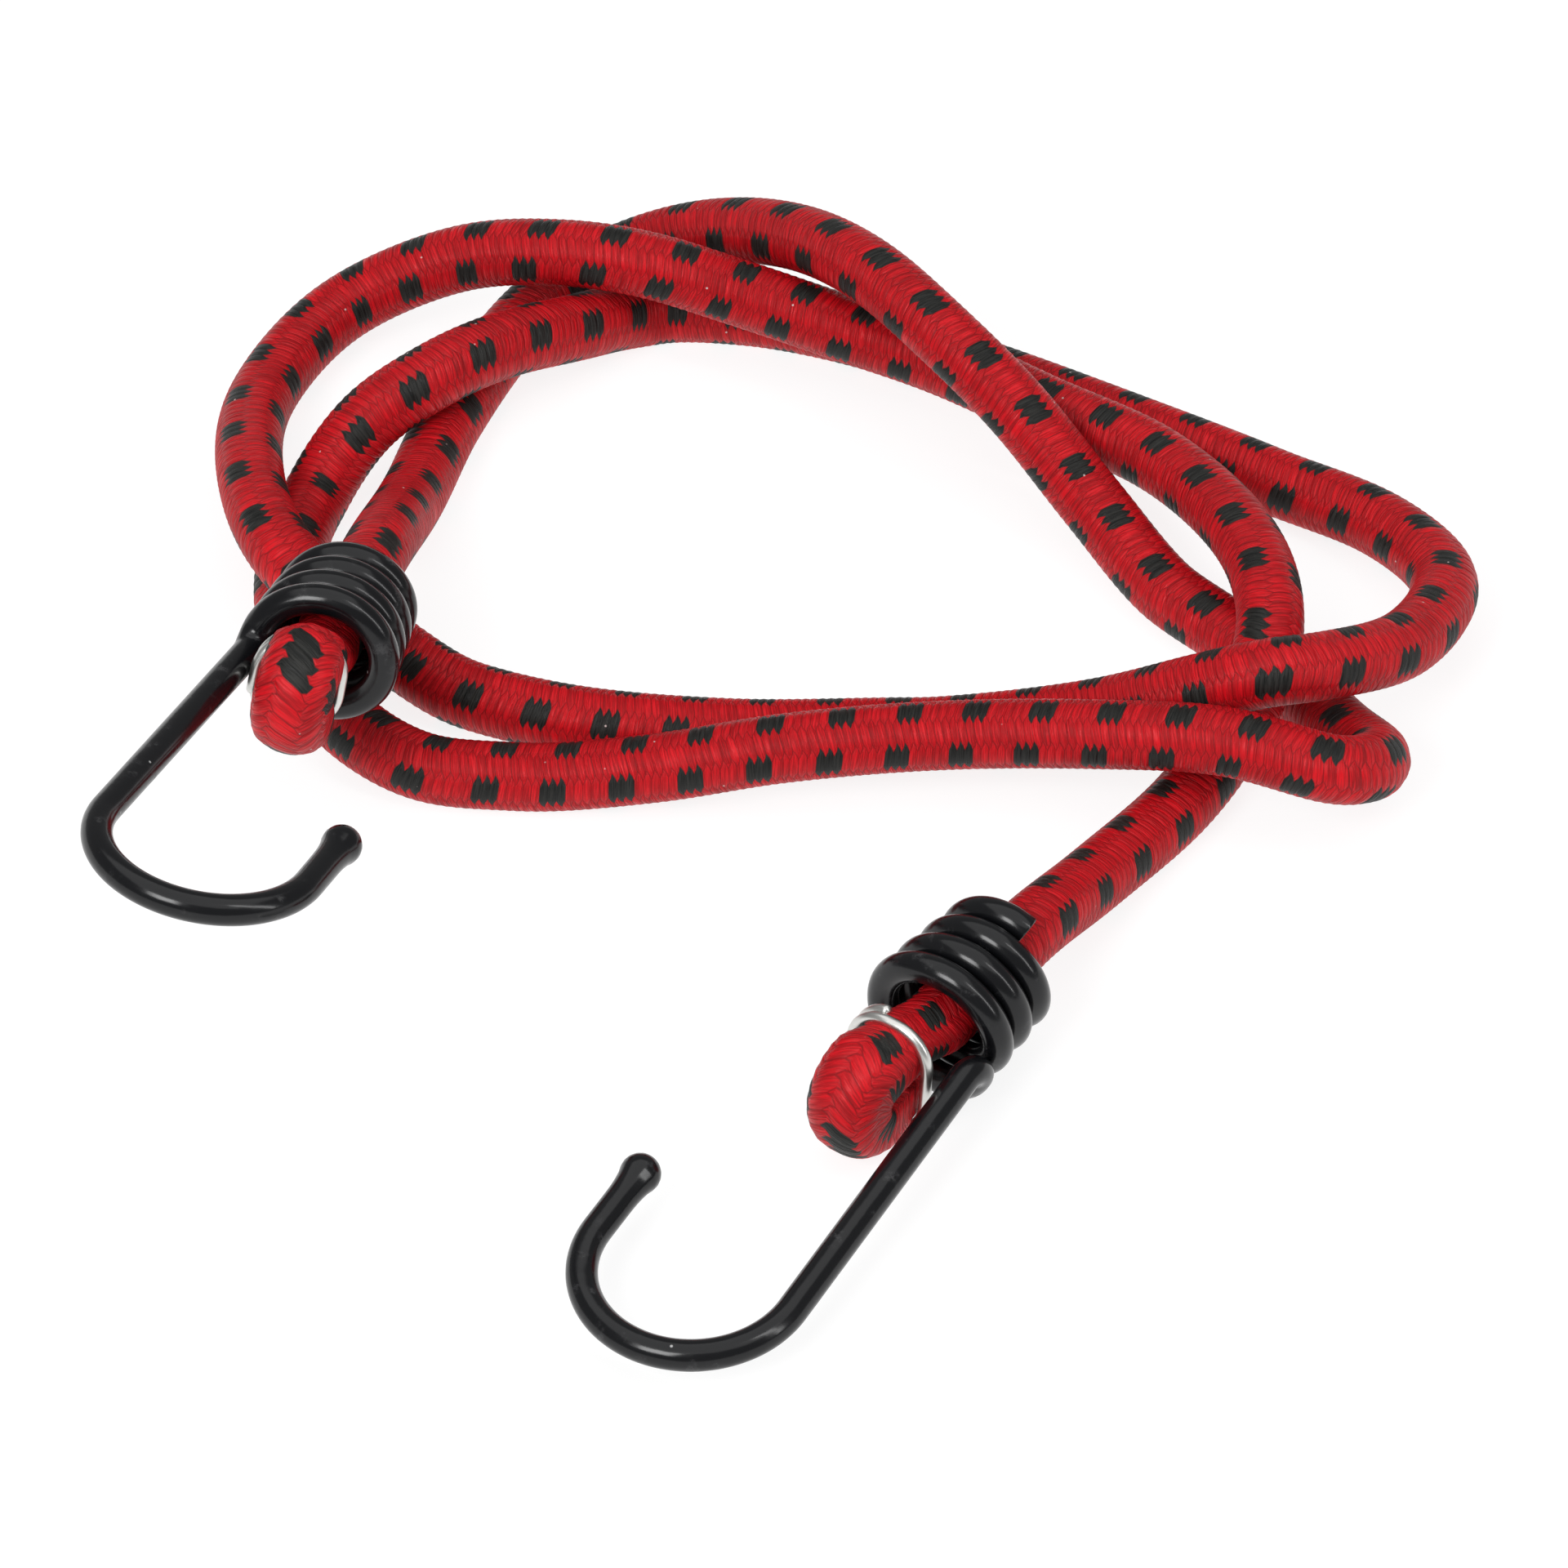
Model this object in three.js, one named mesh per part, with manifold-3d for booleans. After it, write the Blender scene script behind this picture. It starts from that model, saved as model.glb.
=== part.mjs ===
// Bungee cord: a rubber core in a woven cover, with a dipped wire hook coiled round each folded end.
// Millimetres, +Z up. The cord lies in a loose bundle on the surface z = 0.
import * as THREE from 'three';
import Module from 'manifold-3d';
import { mergeVertices } from 'three/addons/utils/BufferGeometryUtils.js';

const wasm = await Module();
wasm.setup();

// Cord section
const CORD_DIAMETER = 7.8;
const COVER_WALL = 1.1;
const CORE_CLEARANCE = 0.3;
const COVER_SIDES = 10;
const CORE_SIDES = 6;

// The bundle is pressed flat by this depth where it lies on the surface
const FLAT_DEPTH = CORD_DIAMETER / 10;

// Hook wire: a round steel wire in a dipped coating
const COATING_DIAMETER = 3.4;
const COATING_WALL = 0.4;
const STEEL_CLEARANCE = 0.3;
const COATING_SIDES = 8;
const STEEL_SIDES = 6;

// Hook coil: a cone of close turns, wide at the mouth and gripping the cord at the rear
const COIL_TURNS = 3.7;
const COIL_GAP = 0.45;
const COIL_MOUTH_RADIUS = 7.4;
const COIL_GRIP_CLEARANCE = 0.45;
const STATIONS_PER_TURN = 14;

// Hook bend: the wire leaves the mouth round an elbow, runs forward with a lean away from the axis,
// and turns back in a round bowl
const SHANK_ANGLE = THREE.MathUtils.degToRad(180);
const SHANK_LEAN = THREE.MathUtils.degToRad(-7.5);
const ELBOW_RADIUS = 2.8;
const SHANK_REACH = 40.6;
const BOWL_RADIUS = 12.1;
const BOWL_SWEEP = THREE.MathUtils.degToRad(180);
const TIP_LENGTH = 9.0;
const TIP_BALL_DIAMETER = 4.6;

// Folded cord end: the cord comes out of the coil, folds back on itself and is crimped in a ring
const END_FACE = -7;
const END_GAP = 0.3;
const FOLD_RADIUS = 4.0;
const FOLD_HALF_HEIGHT = 3.7;
const FOLD_HALF_WIDTH = 4.35;
const FOLD_CORE_CLEARANCE = 0.9;
const RISE_START = -2.0;
const RISE_HALF_HEIGHT = 3.2;
const RISE_HALF_WIDTH = 3.8;
const CRIMP_STRAND_GAP = 0.5;
const CRIMP_HALF_HEIGHT = 3.0;
const CRIMP_HALF_WIDTH = 3.9;
const TAIL_LENGTH = 1.5;

// Crimp ring: a soft wire bent to a rounded rectangle round both strands, with its rear end lapped over its front one
const RING_WIRE_DIAMETER = 1.25;
const RING_CLEARANCE = 0.3;
const RING_CORNER_RADIUS = 4.2;
const RING_LAP_ANGLE = THREE.MathUtils.degToRad(15);
const RING_LAP_RISE = 1.3;
const RING_LAP_STEP = 0.9;
const RING_LAP_FROM = 0.66;
const RING_LAP_TO = 0.88;
const RING_SIDES = 8;
const RING_STEPS = 32;

// Places of the coils' mouths, and of each ring and fold in front of its mouth
const MOUTH_A_X = -51.9;
const MOUTH_A_Y = -4.05;
const MOUTH_A_Z = 22.7;
const MOUTH_B_X = 15.4;
const MOUTH_B_Y = -49.2;
const STRAIGHT_RUN_A = 24.5;
const STRAIGHT_RUN_B = 18.5;
const RING_PLACE_A = 4.6;
const RING_PLACE_B = 6.1;
const FOLD_REACH_A = 1.45;
const FOLD_REACH_B = 4.05;
const FOLD_SHIFT_A = -0.2;
const FOLD_SHIFT_B = 0;

// Where each hook lies: the centre of its coil's mouth, and the way its axis points, tilts and rolls.
// fold_reach and fold_shift place the fold ahead of its ring and aside, and fold_side tells which way it folds.
const HOOKS = [
  {
    name: 'a',
    mouth: new THREE.Vector3(MOUTH_A_X, MOUTH_A_Y, MOUTH_A_Z),
    lies_on_surface: false,
    azimuth: -103.9,
    tilt: 12,
    roll: 187.5,
    straight_run: STRAIGHT_RUN_A,
    ring_place: RING_PLACE_A,
    fold_reach: FOLD_REACH_A,
    fold_shift: FOLD_SHIFT_A,
    fold_side: 1,
  },
  {
    name: 'b',
    mouth: new THREE.Vector3(MOUTH_B_X, MOUTH_B_Y, 0),
    lies_on_surface: true,
    azimuth: -127.8,
    tilt: -4,
    roll: 0.9,
    straight_run: STRAIGHT_RUN_B,
    ring_place: RING_PLACE_B,
    fold_reach: FOLD_REACH_B,
    fold_shift: FOLD_SHIFT_B,
    fold_side: -1,
  },
];

// Route of the cord's centre between its two ends, in the three rounds of the bundle
const FIRST_ROUND = [
  [-42.6, 43.0, 5.4], [-38.0, 60.4, 3.1], [-27.6, 80.4, 3.1], [-17.8, 87.1, 4.5], [-8.6, 86.0, 8.5],
  [1.0, 78.8, 14.0], [9.5, 68.4, 17.9], [17.9, 57.5, 17.8], [26.8, 48.9, 13.4], [35.6, 40.0, 6.5],
  [44.0, 28.6, 3.1], [54.7, 17.4, 3.1], [62.6, 4.8, 4.0], [66.4, -4.5, 7.7], [61.9, -10.0, 11.4],
];
const SECOND_ROUND = [
  [49.2, -7.4, 13.4], [34.7, -4.5, 11.8], [17.4, -1.9, 9.2], [0.0, -2.7, 8.0], [-14.7, -3.0, 5.2],
  [-29.4, -2.2, 3.1], [-41.3, -0.2, 3.1], [-51.6, 10.0, 3.1], [-56.7, 27.4, 3.1], [-54.4, 43.9, 3.1],
  [-48.2, 51.3, 9.1], [-40.5, 56.0, 12.2], [-33.1, 62.1, 11.4], [-24.7, 69.7, 7.6], [-16.3, 77.6, 3.1],
  [-5.7, 77.9, 3.1], [6.2, 74.9, 3.1], [22.9, 67.1, 3.1], [40.2, 57.5, 3.1], [56.6, 47.8, 3.1],
  [68.9, 39.2, 4.0], [75.2, 26.9, 6.5], [70.0, 11.4, 11.0], [60.4, 2.9, 15.4], [53.9, 0.6, 16.4],
];
const THIRD_ROUND = [
  [47.1, 1.6, 13.4], [34.9, 4.4, 6.8], [15.7, 5.3, 3.1], [-5.5, 5.1, 3.1], [-24.0, 7.4, 3.1],
  [-36.1, 11.6, 3.1], [-43.5, 16.1, 5.0], [-50.0, 18.5, 9.9], [-56.4, 24.7, 12.0], [-61.0, 40.1, 9.9],
  [-60.3, 61.6, 4.8], [-51.6, 75.7, 5.5], [-37.9, 78.7, 10.6], [-25.7, 76.0, 13.8], [-16.2, 74.4, 13.4],
  [-5.7, 72.8, 10.6], [6.2, 68.3, 9.2], [18.0, 62.7, 8.7], [30.3, 55.0, 8.0], [43.2, 46.0, 8.0],
  [53.0, 28.2, 10.8], [54.9, 13.7, 11.6], [53.2, 7.2, 8.4], [50.3, 2.7, 4.6], [44.9, -6.0, 3.1],
  [34.5, -21.3, 5.5],
];
const LONGEST_STEP = 13;
const LARGEST_TURN = THREE.MathUtils.degToRad(17);

// Sizes that follow from those above
const CORD_RADIUS = CORD_DIAMETER / 2;
const CORD_REST_HEIGHT = CORD_RADIUS - FLAT_DEPTH;
const BORE_RADIUS = CORD_RADIUS - COVER_WALL;
const CORE_RADIUS = BORE_RADIUS - CORE_CLEARANCE;
const COATING_RADIUS = COATING_DIAMETER / 2;
const COATING_BORE_RADIUS = COATING_RADIUS - COATING_WALL;
const STEEL_RADIUS = COATING_BORE_RADIUS - STEEL_CLEARANCE;
const COIL_PITCH = COATING_DIAMETER + COIL_GAP;
const COIL_REAR_RADIUS = CORD_RADIUS + COIL_GRIP_CLEARANCE + COATING_RADIUS;
const CRIMP_OFFSET = CRIMP_HALF_HEIGHT + CRIMP_STRAND_GAP / 2;
const CRIMP_HALF_LENGTH = RING_WIRE_DIAMETER / 2 + RING_CLEARANCE;

// One material for each finish
const COVER_RED = { color: 0xc3192a, roughness: 0.7, metalness: 0 };
const RUBBER = { color: 0xd9c79f, roughness: 0.9, metalness: 0 };
const DIPPED_BLACK = { color: 0x1e1f22, roughness: 0.45, metalness: 0 };
const BRIGHT_STEEL = { color: 0x9ea1a5, roughness: 0.35, metalness: 1 };
const RING_SILVER = { color: 0xc9c9c4, roughness: 0.3, metalness: 1 };

// A curve given by its stations, so that a sweep gets one ring of points at each of them.
class StationPath extends THREE.Curve {
  constructor(stations) {
    super();
    this.stations = stations;
  }

  getPoint(share, target = new THREE.Vector3()) {
    const place = share * (this.stations.length - 1);
    const index = Math.min(Math.floor(place + 1e-6), this.stations.length - 1);
    const next = Math.min(index + 1, this.stations.length - 1);
    const rest = Math.max(place - index, 0);
    return target.lerpVectors(this.stations[index], this.stations[next], rest);
  }

  getPointAt(share, target) {
    return this.getPoint(share, target);
  }

  getTangent(share, target = new THREE.Vector3()) {
    const last = this.stations.length - 1;
    const index = Math.round(share * last);
    const here = this.stations[index];
    const back = index > 0 ? here.clone().sub(this.stations[index - 1]).normalize() : new THREE.Vector3();
    const ahead = index < last ? this.stations[index + 1].clone().sub(here).normalize() : new THREE.Vector3();
    return target.addVectors(back, ahead).normalize();
  }

  getTangentAt(share, target) {
    return this.getTangent(share, target);
  }
}

function polygon(radius, sides) {
  const corners = [];
  for (let side = 0; side < sides; side += 1) {
    const angle = (2 * Math.PI * side) / sides;
    corners.push(new THREE.Vector2(radius * Math.cos(angle), radius * Math.sin(angle)));
  }
  return corners;
}

// A round bar swept along stations, with a bore through it where one is given.
function sweep(stations, radius, sides, boreRadius = 0, boreSides = 0) {
  const section = new THREE.Shape(polygon(radius, sides));
  if (boreRadius > 0) section.holes.push(new THREE.Path(polygon(boreRadius, boreSides)));
  const extrudePath = new StationPath(stations);
  return new THREE.ExtrudeGeometry(section, { steps: stations.length - 1, extrudePath });
}

function solidOf(geometry) {
  const bare = geometry.clone();
  bare.deleteAttribute('normal');
  bare.deleteAttribute('uv');
  const joined = mergeVertices(bare, 1e-4);
  const vertProperties = new Float32Array(joined.attributes.position.array);
  const triVerts = new Uint32Array(joined.index.array);
  return new wasm.Manifold(new wasm.Mesh({ numProp: 3, vertProperties, triVerts }));
}

function geometryOf(solid) {
  const mesh = solid.getMesh();
  const geometry = new THREE.BufferGeometry();
  geometry.setAttribute('position', new THREE.BufferAttribute(new Float32Array(mesh.vertProperties), 3));
  geometry.setIndex(new THREE.BufferAttribute(new Uint32Array(mesh.triVerts), 1));
  geometry.computeVertexNormals();
  return geometry;
}

// Takes off what lies below the surface that the bundle rests on.
function cutFlat(geometry) {
  const depth = CORD_DIAMETER;
  const extent = new THREE.Box3().setFromBufferAttribute(geometry.attributes.position);
  const size = extent.getSize(new THREE.Vector3());
  const centre = extent.getCenter(new THREE.Vector3());
  const below = new THREE.BoxGeometry(size.x + depth, size.y + depth, depth);
  below.translate(centre.x, centre.y, -depth / 2);
  return geometryOf(solidOf(geometry).subtract(solidOf(below)));
}

function addPart(group, name, geometry, finish) {
  const mesh = new THREE.Mesh(geometry, new THREE.MeshStandardMaterial(finish));
  mesh.name = name;
  group.add(mesh);
}

// Hook frame: x along the coil's axis towards the bowl, y from the shank to the tip, z across both.
function coilPoint(angle, x, radius) {
  return new THREE.Vector3(x, radius * Math.cos(angle), radius * Math.sin(angle));
}

function coilStations() {
  const stations = [];
  const wholeAngle = 2 * Math.PI * COIL_TURNS;
  const elbowAngle = ELBOW_RADIUS / COIL_MOUTH_RADIUS;
  const steps = Math.round(COIL_TURNS * STATIONS_PER_TURN);
  for (let step = 0; step <= steps; step += 1) {
    const angle = THREE.MathUtils.lerp(wholeAngle, elbowAngle, step / steps);
    const radius = THREE.MathUtils.lerp(COIL_MOUTH_RADIUS, COIL_REAR_RADIUS, angle / wholeAngle);
    stations.push(coilPoint(SHANK_ANGLE - angle, (-COIL_PITCH * angle) / (2 * Math.PI), radius));
  }
  return stations;
}

function elbowStations(start) {
  const stations = [];
  const bendAngle = ELBOW_RADIUS / COIL_MOUTH_RADIUS;
  for (let step = 1; step <= 4; step += 1) {
    const turn = (Math.PI / 2) * (step / 4);
    const angle = SHANK_ANGLE - bendAngle * (1 - Math.sin(turn));
    stations.push(coilPoint(angle, start.x + ELBOW_RADIUS * (1 - Math.cos(turn)), COIL_MOUTH_RADIUS));
  }
  return stations;
}

// Unit vectors along the leaning shank, and across the hook from shank to tip
function shankFrame() {
  const along = new THREE.Vector3(Math.cos(SHANK_LEAN), Math.sin(SHANK_LEAN), 0);
  const across = new THREE.Vector3(-Math.sin(SHANK_LEAN), Math.cos(SHANK_LEAN), 0);
  return { along, across };
}

function bowlStations() {
  const stations = [];
  const { along, across } = shankFrame();
  const seat = coilPoint(SHANK_ANGLE, 0, COIL_MOUTH_RADIUS);
  const steps = 14;
  for (let step = 0; step <= steps; step += 1) {
    const turn = BOWL_SWEEP * (step / steps);
    const ahead = SHANK_REACH + BOWL_RADIUS * Math.sin(turn);
    const aside = BOWL_RADIUS * (1 - Math.cos(turn));
    stations.push(seat.clone().addScaledVector(along, ahead).addScaledVector(across, aside));
  }
  return stations;
}

function hookStations(tipLength) {
  const coil = coilStations();
  const bowl = bowlStations();
  const { along, across } = shankFrame();
  const tip = bowl.at(-1).clone()
    .addScaledVector(along, tipLength * Math.cos(BOWL_SWEEP))
    .addScaledVector(across, tipLength * Math.sin(BOWL_SWEEP));
  return [...coil, ...elbowStations(coil.at(-1)), ...bowl, tip];
}

function hookCoating() {
  const stations = hookStations(TIP_LENGTH);
  const tube = sweep(stations, COATING_RADIUS, COATING_SIDES, COATING_BORE_RADIUS, STEEL_SIDES);
  const ball = new THREE.SphereGeometry(TIP_BALL_DIAMETER / 2, 12, 8);
  ball.translate(...stations.at(-1));
  return geometryOf(solidOf(tube).add(solidOf(ball)));
}

function hookSteel() {
  const stations = hookStations(TIP_LENGTH - TIP_BALL_DIAMETER / 2 - STEEL_CLEARANCE);
  return sweep(stations, STEEL_RADIUS, STEEL_SIDES);
}

// Centre line of the folded end: out of the coil, up through the ring, round the fold, back to the tail.
// Each station also holds the half height, half width and turn of the squeezed cord's section there.
function foldStations(hook) {
  const ring = hook.ring_place;
  const start = END_FACE + END_GAP;
  const bulge = ring + hook.fold_reach;
  const upright = Math.PI / 2;
  const aside = hook.fold_shift;
  const strand = (x, rise, high, wide, shift = aside, turn = upright) => ({ x, rise, high, wide, shift, turn });
  const crimped = (x, side) => (
    strand(x, side * CRIMP_OFFSET, CRIMP_HALF_HEIGHT, CRIMP_HALF_WIDTH, aside, side * upright)
  );
  const rise = (RISE_START + ring - CRIMP_HALF_LENGTH) / 2;
  const stations = [
    strand(start, 0, CORD_RADIUS, CORD_RADIUS, 0),
    strand(RISE_START, 0, CORD_RADIUS, CORD_RADIUS, 0),
    strand(rise, CRIMP_OFFSET / 2, RISE_HALF_HEIGHT, RISE_HALF_WIDTH, aside / 2),
    crimped(ring - CRIMP_HALF_LENGTH, 1),
    crimped(ring + CRIMP_HALF_LENGTH, 1),
  ];
  for (let step = 0; step <= 6; step += 1) {
    const turn = Math.PI * (0.5 - step / 6);
    const x = bulge + FOLD_RADIUS * Math.cos(turn);
    const arcRise = FOLD_RADIUS * Math.sin(turn);
    stations.push(strand(x, arcRise, FOLD_HALF_HEIGHT, FOLD_HALF_WIDTH, aside, turn));
  }
  stations.push(crimped(ring + CRIMP_HALF_LENGTH, -1), crimped(ring - TAIL_LENGTH, -1));
  for (const station of stations) {
    station.point = new THREE.Vector3(station.x, station.shift, hook.fold_side * station.rise);
    station.height = new THREE.Vector3(hook.fold_side * Math.cos(station.turn), 0, Math.sin(station.turn));
  }
  return stations;
}

// Rings of points round the folded centre line, each an oval drawn in by an inset.
function foldRings(stations, sides, inset) {
  const width = new THREE.Vector3(0, 1, 0);
  return stations.map((station) => polygon(1, sides).map((corner) => station.point.clone()
    .addScaledVector(width, corner.x * (station.wide - inset))
    .addScaledVector(station.height, corner.y * (station.high - inset * station.high / station.wide))));
}

// Skins a stack of rings. A second stack, where given, is a bore that opens at both ends.
function skin(rings, boreRings = []) {
  const corners = [];
  const faces = [];
  const addStack = (stack, outward) => {
    const first = corners.length;
    const sides = stack[0].length;
    corners.push(...stack.flat());
    for (let ring = 0; ring + 1 < stack.length; ring += 1) {
      for (let side = 0; side < sides; side += 1) {
        const here = first + ring * sides + side;
        const beside = first + ring * sides + ((side + 1) % sides);
        const quad = outward
          ? [here, beside, beside + sides, here, beside + sides, here + sides]
          : [here, beside + sides, beside, here, here + sides, beside + sides];
        faces.push(...quad);
      }
    }
    return first;
  };
  const outer = addStack(rings, true);
  const inner = boreRings.length ? addStack(boreRings, false) : 0;
  const unit = polygon(1, rings[0].length);
  const hole = boreRings.length ? [polygon(0.5, boreRings[0].length)] : [];
  const corner = (index, ring) => (index < unit.length
    ? outer + ring * unit.length + index
    : inner + ring * hole[0].length + index - unit.length);
  for (const [a, b, c] of THREE.ShapeUtils.triangulateShape(unit, hole)) {
    const last = rings.length - 1;
    faces.push(corner(a, 0), corner(c, 0), corner(b, 0));
    faces.push(corner(a, last), corner(b, last), corner(c, last));
  }
  const geometry = new THREE.BufferGeometry().setFromPoints(corners);
  geometry.setIndex(faces);
  geometry.computeVertexNormals();
  return geometry;
}

function foldedCover(hook) {
  const stations = foldStations(hook);
  return skin(foldRings(stations, COVER_SIDES, 0), foldRings(stations, CORE_SIDES, COVER_WALL));
}

function foldedCore(hook) {
  const stations = foldStations(hook);
  return skin(foldRings(stations, CORE_SIDES, COVER_WALL + FOLD_CORE_CLEARANCE));
}

// The ring's bend, from its front end at the top once round to its rear end, lapped above and behind the front one.
function ringStations(hook) {
  const half = RING_CLEARANCE + RING_WIRE_DIAMETER / 2;
  const halfHeight = CRIMP_OFFSET + CRIMP_HALF_HEIGHT + half;
  const halfWidth = CRIMP_HALF_WIDTH + half;
  const corner = RING_CORNER_RADIUS;
  const bend = new THREE.Path();
  bend.absarc(halfWidth - corner, halfHeight - corner, corner, Math.PI / 2 - RING_LAP_ANGLE, Math.PI / 2, false);
  bend.absarc(corner - halfWidth, halfHeight - corner, corner, Math.PI / 2, Math.PI, false);
  bend.absarc(corner - halfWidth, corner - halfHeight, corner, Math.PI, 1.5 * Math.PI, false);
  bend.absarc(halfWidth - corner, corner - halfHeight, corner, -Math.PI / 2, 0, false);
  bend.absarc(halfWidth - corner, halfHeight - corner, corner, 0, Math.PI / 2, false);
  bend.absarc(corner - halfWidth, halfHeight - corner, corner, Math.PI / 2, Math.PI / 2 + RING_LAP_ANGLE, false);
  return bend.getSpacedPoints(RING_STEPS).map((p, step) => {
    const lift = THREE.MathUtils.smoothstep(step / RING_STEPS, RING_LAP_FROM, RING_LAP_TO);
    p.setLength(p.length() + RING_LAP_RISE * lift);
    const x = hook.ring_place - RING_LAP_STEP * lift;
    return new THREE.Vector3(x, p.x + hook.fold_shift, hook.fold_side * p.y);
  });
}

function crimpRing(hook) {
  return sweep(ringStations(hook), RING_WIRE_DIAMETER / 2, RING_SIDES);
}

// A group in the hook's frame, set where the hook lies.
function hookGroup(hook) {
  const azimuth = THREE.MathUtils.degToRad(hook.azimuth);
  const tilt = THREE.MathUtils.degToRad(hook.tilt);
  const roll = THREE.MathUtils.degToRad(hook.roll);
  const level = Math.cos(tilt);
  const axis = new THREE.Vector3(level * Math.cos(azimuth), level * Math.sin(azimuth), Math.sin(tilt));
  const side = new THREE.Vector3().crossVectors(axis, new THREE.Vector3(0, 0, 1)).normalize();
  const up = new THREE.Vector3().crossVectors(side, axis);
  const lateral = side.multiplyScalar(Math.cos(roll)).addScaledVector(up, Math.sin(roll));
  const across = new THREE.Vector3().crossVectors(axis, lateral);
  const group = new THREE.Group();
  group.quaternion.setFromRotationMatrix(new THREE.Matrix4().makeBasis(axis, lateral, across));
  group.position.copy(hook.mouth);
  return group;
}

// Lifts a hook so that its lowest point just touches the surface.
function setOnSurface(group, geometry) {
  const low = new THREE.Vector3();
  let lowest = Infinity;
  for (let index = 0; index < geometry.attributes.position.count; index += 1) {
    low.fromBufferAttribute(geometry.attributes.position, index).applyQuaternion(group.quaternion);
    lowest = Math.min(lowest, low.z);
  }
  group.position.z = -lowest;
}

// The cord's centre from inside one coil to inside the other, as closely spaced points.
function cordLine(ends) {
  const onAxis = (end, x) => new THREE.Vector3(x, 0, 0).applyQuaternion(end.quaternion).add(end.position);
  const [endA, endB] = ends;
  const firstRun = [onAxis(endA, END_FACE), onAxis(endA, -HOOKS[0].straight_run)];
  const lastRun = [onAxis(endB, -HOOKS[1].straight_run), onAxis(endB, END_FACE)];
  const rounds = [...FIRST_ROUND, ...SECOND_ROUND, ...THIRD_ROUND].map((place) => new THREE.Vector3(...place));
  const curve = new THREE.CatmullRomCurve3([...firstRun, ...rounds, ...lastRun], false, 'centripetal');
  const spans = curve.points.length - 1;
  const points = [firstRun[0]];
  const perSpan = 16;
  for (let step = perSpan; step <= (spans - 1) * perSpan; step += 1) {
    const point = curve.getPoint(step / (spans * perSpan));
    point.z = Math.max(point.z, CORD_REST_HEIGHT);
    points.push(point);
  }
  points.push(lastRun[1]);
  return points;
}

// Keeps the points of a line where it has run on or turned by a set amount.
function stationsAlong(points) {
  const stations = [points[0]];
  let run = 0;
  let turn = 0;
  for (let index = 1; index + 1 < points.length; index += 1) {
    const step = points[index].clone().sub(points[index - 1]);
    const next = points[index + 1].clone().sub(points[index]);
    run += step.length();
    turn += step.angleTo(next);
    const reach = next.length() / 2;
    if (run + reach < LONGEST_STEP && turn < LARGEST_TURN) continue;
    stations.push(points[index]);
    run = 0;
    turn = 0;
  }
  stations.push(points.at(-1));
  return stations;
}

// Least clear gap between stretches of a line that lie further apart along it than a given length.
function leastGap(points, diameter, apart) {
  const run = [0];
  for (let index = 1; index < points.length; index += 1) {
    run.push(run[index - 1] + points[index].distanceTo(points[index - 1]));
  }
  let least = Infinity;
  for (let one = 0; one < points.length; one += 1) {
    for (let other = one + 1; other < points.length; other += 1) {
      if (run[other] - run[one] < apart) continue;
      least = Math.min(least, points[one].distanceTo(points[other]));
    }
  }
  return { gap: least - diameter, length: run.at(-1) };
}

// Assembly: the two ends with their hooks, then the cord between them
const bungee = new THREE.Group();
const coating = hookCoating();
const ends = [];
for (const hook of HOOKS) {
  const end = hookGroup(hook);
  if (hook.lies_on_surface) setOnSurface(end, coating);
  addPart(end, `hook_coating_${hook.name}`, coating.clone(), DIPPED_BLACK);
  addPart(end, `hook_wire_${hook.name}`, hookSteel(), BRIGHT_STEEL);
  addPart(end, `hog_ring_${hook.name}`, crimpRing(hook), RING_SILVER);
  addPart(end, `cover_end_${hook.name}`, foldedCover(hook), COVER_RED);
  addPart(end, `core_end_${hook.name}`, foldedCore(hook), RUBBER);
  bungee.add(end);
  ends.push(end);
}
const cordPoints = cordLine(ends);
const cordStations = stationsAlong(cordPoints);
const coverTube = sweep(cordStations, CORD_RADIUS, COVER_SIDES, BORE_RADIUS, CORE_SIDES);
addPart(bungee, 'cover_main', cutFlat(coverTube), COVER_RED);
addPart(bungee, 'core_main', sweep(cordStations, CORE_RADIUS, CORE_SIDES), RUBBER);

// The origin is on the surface, under the middle of the hooks and rings
bungee.updateMatrixWorld(true);
const hardware = new THREE.Box3();
for (const end of ends) {
  for (const mesh of end.children) {
    if (/^(hook|hog)/.test(mesh.name)) hardware.expandByObject(mesh, true);
  }
}
const middle = hardware.getCenter(new THREE.Vector3());
bungee.position.set(-middle.x, -middle.y, -hardware.min.z);

const coilGap = leastGap(coilStations(), COATING_DIAMETER, 3 * COIL_MOUTH_RADIUS);
const cordGap = leastGap(cordPoints, CORD_DIAMETER, 3 * CORD_DIAMETER);
console.log(`Least gap of a hook's coil to itself: ${coilGap.gap.toFixed(2)} mm`);
console.log(`Least gap of the cord to itself: ${cordGap.gap.toFixed(2)} mm, length ${cordGap.length.toFixed(0)} mm`);
console.log(`Origin shift: ${bungee.position.toArray().map((part) => part.toFixed(3)).join(', ')} mm`);

export default bungee;
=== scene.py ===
"""Dress the bungee cord: braided cord, folded ends, crimp rings and dipped wire hooks."""

import logging
import math
from collections.abc import Callable
from dataclasses import dataclass
from enum import Enum

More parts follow.
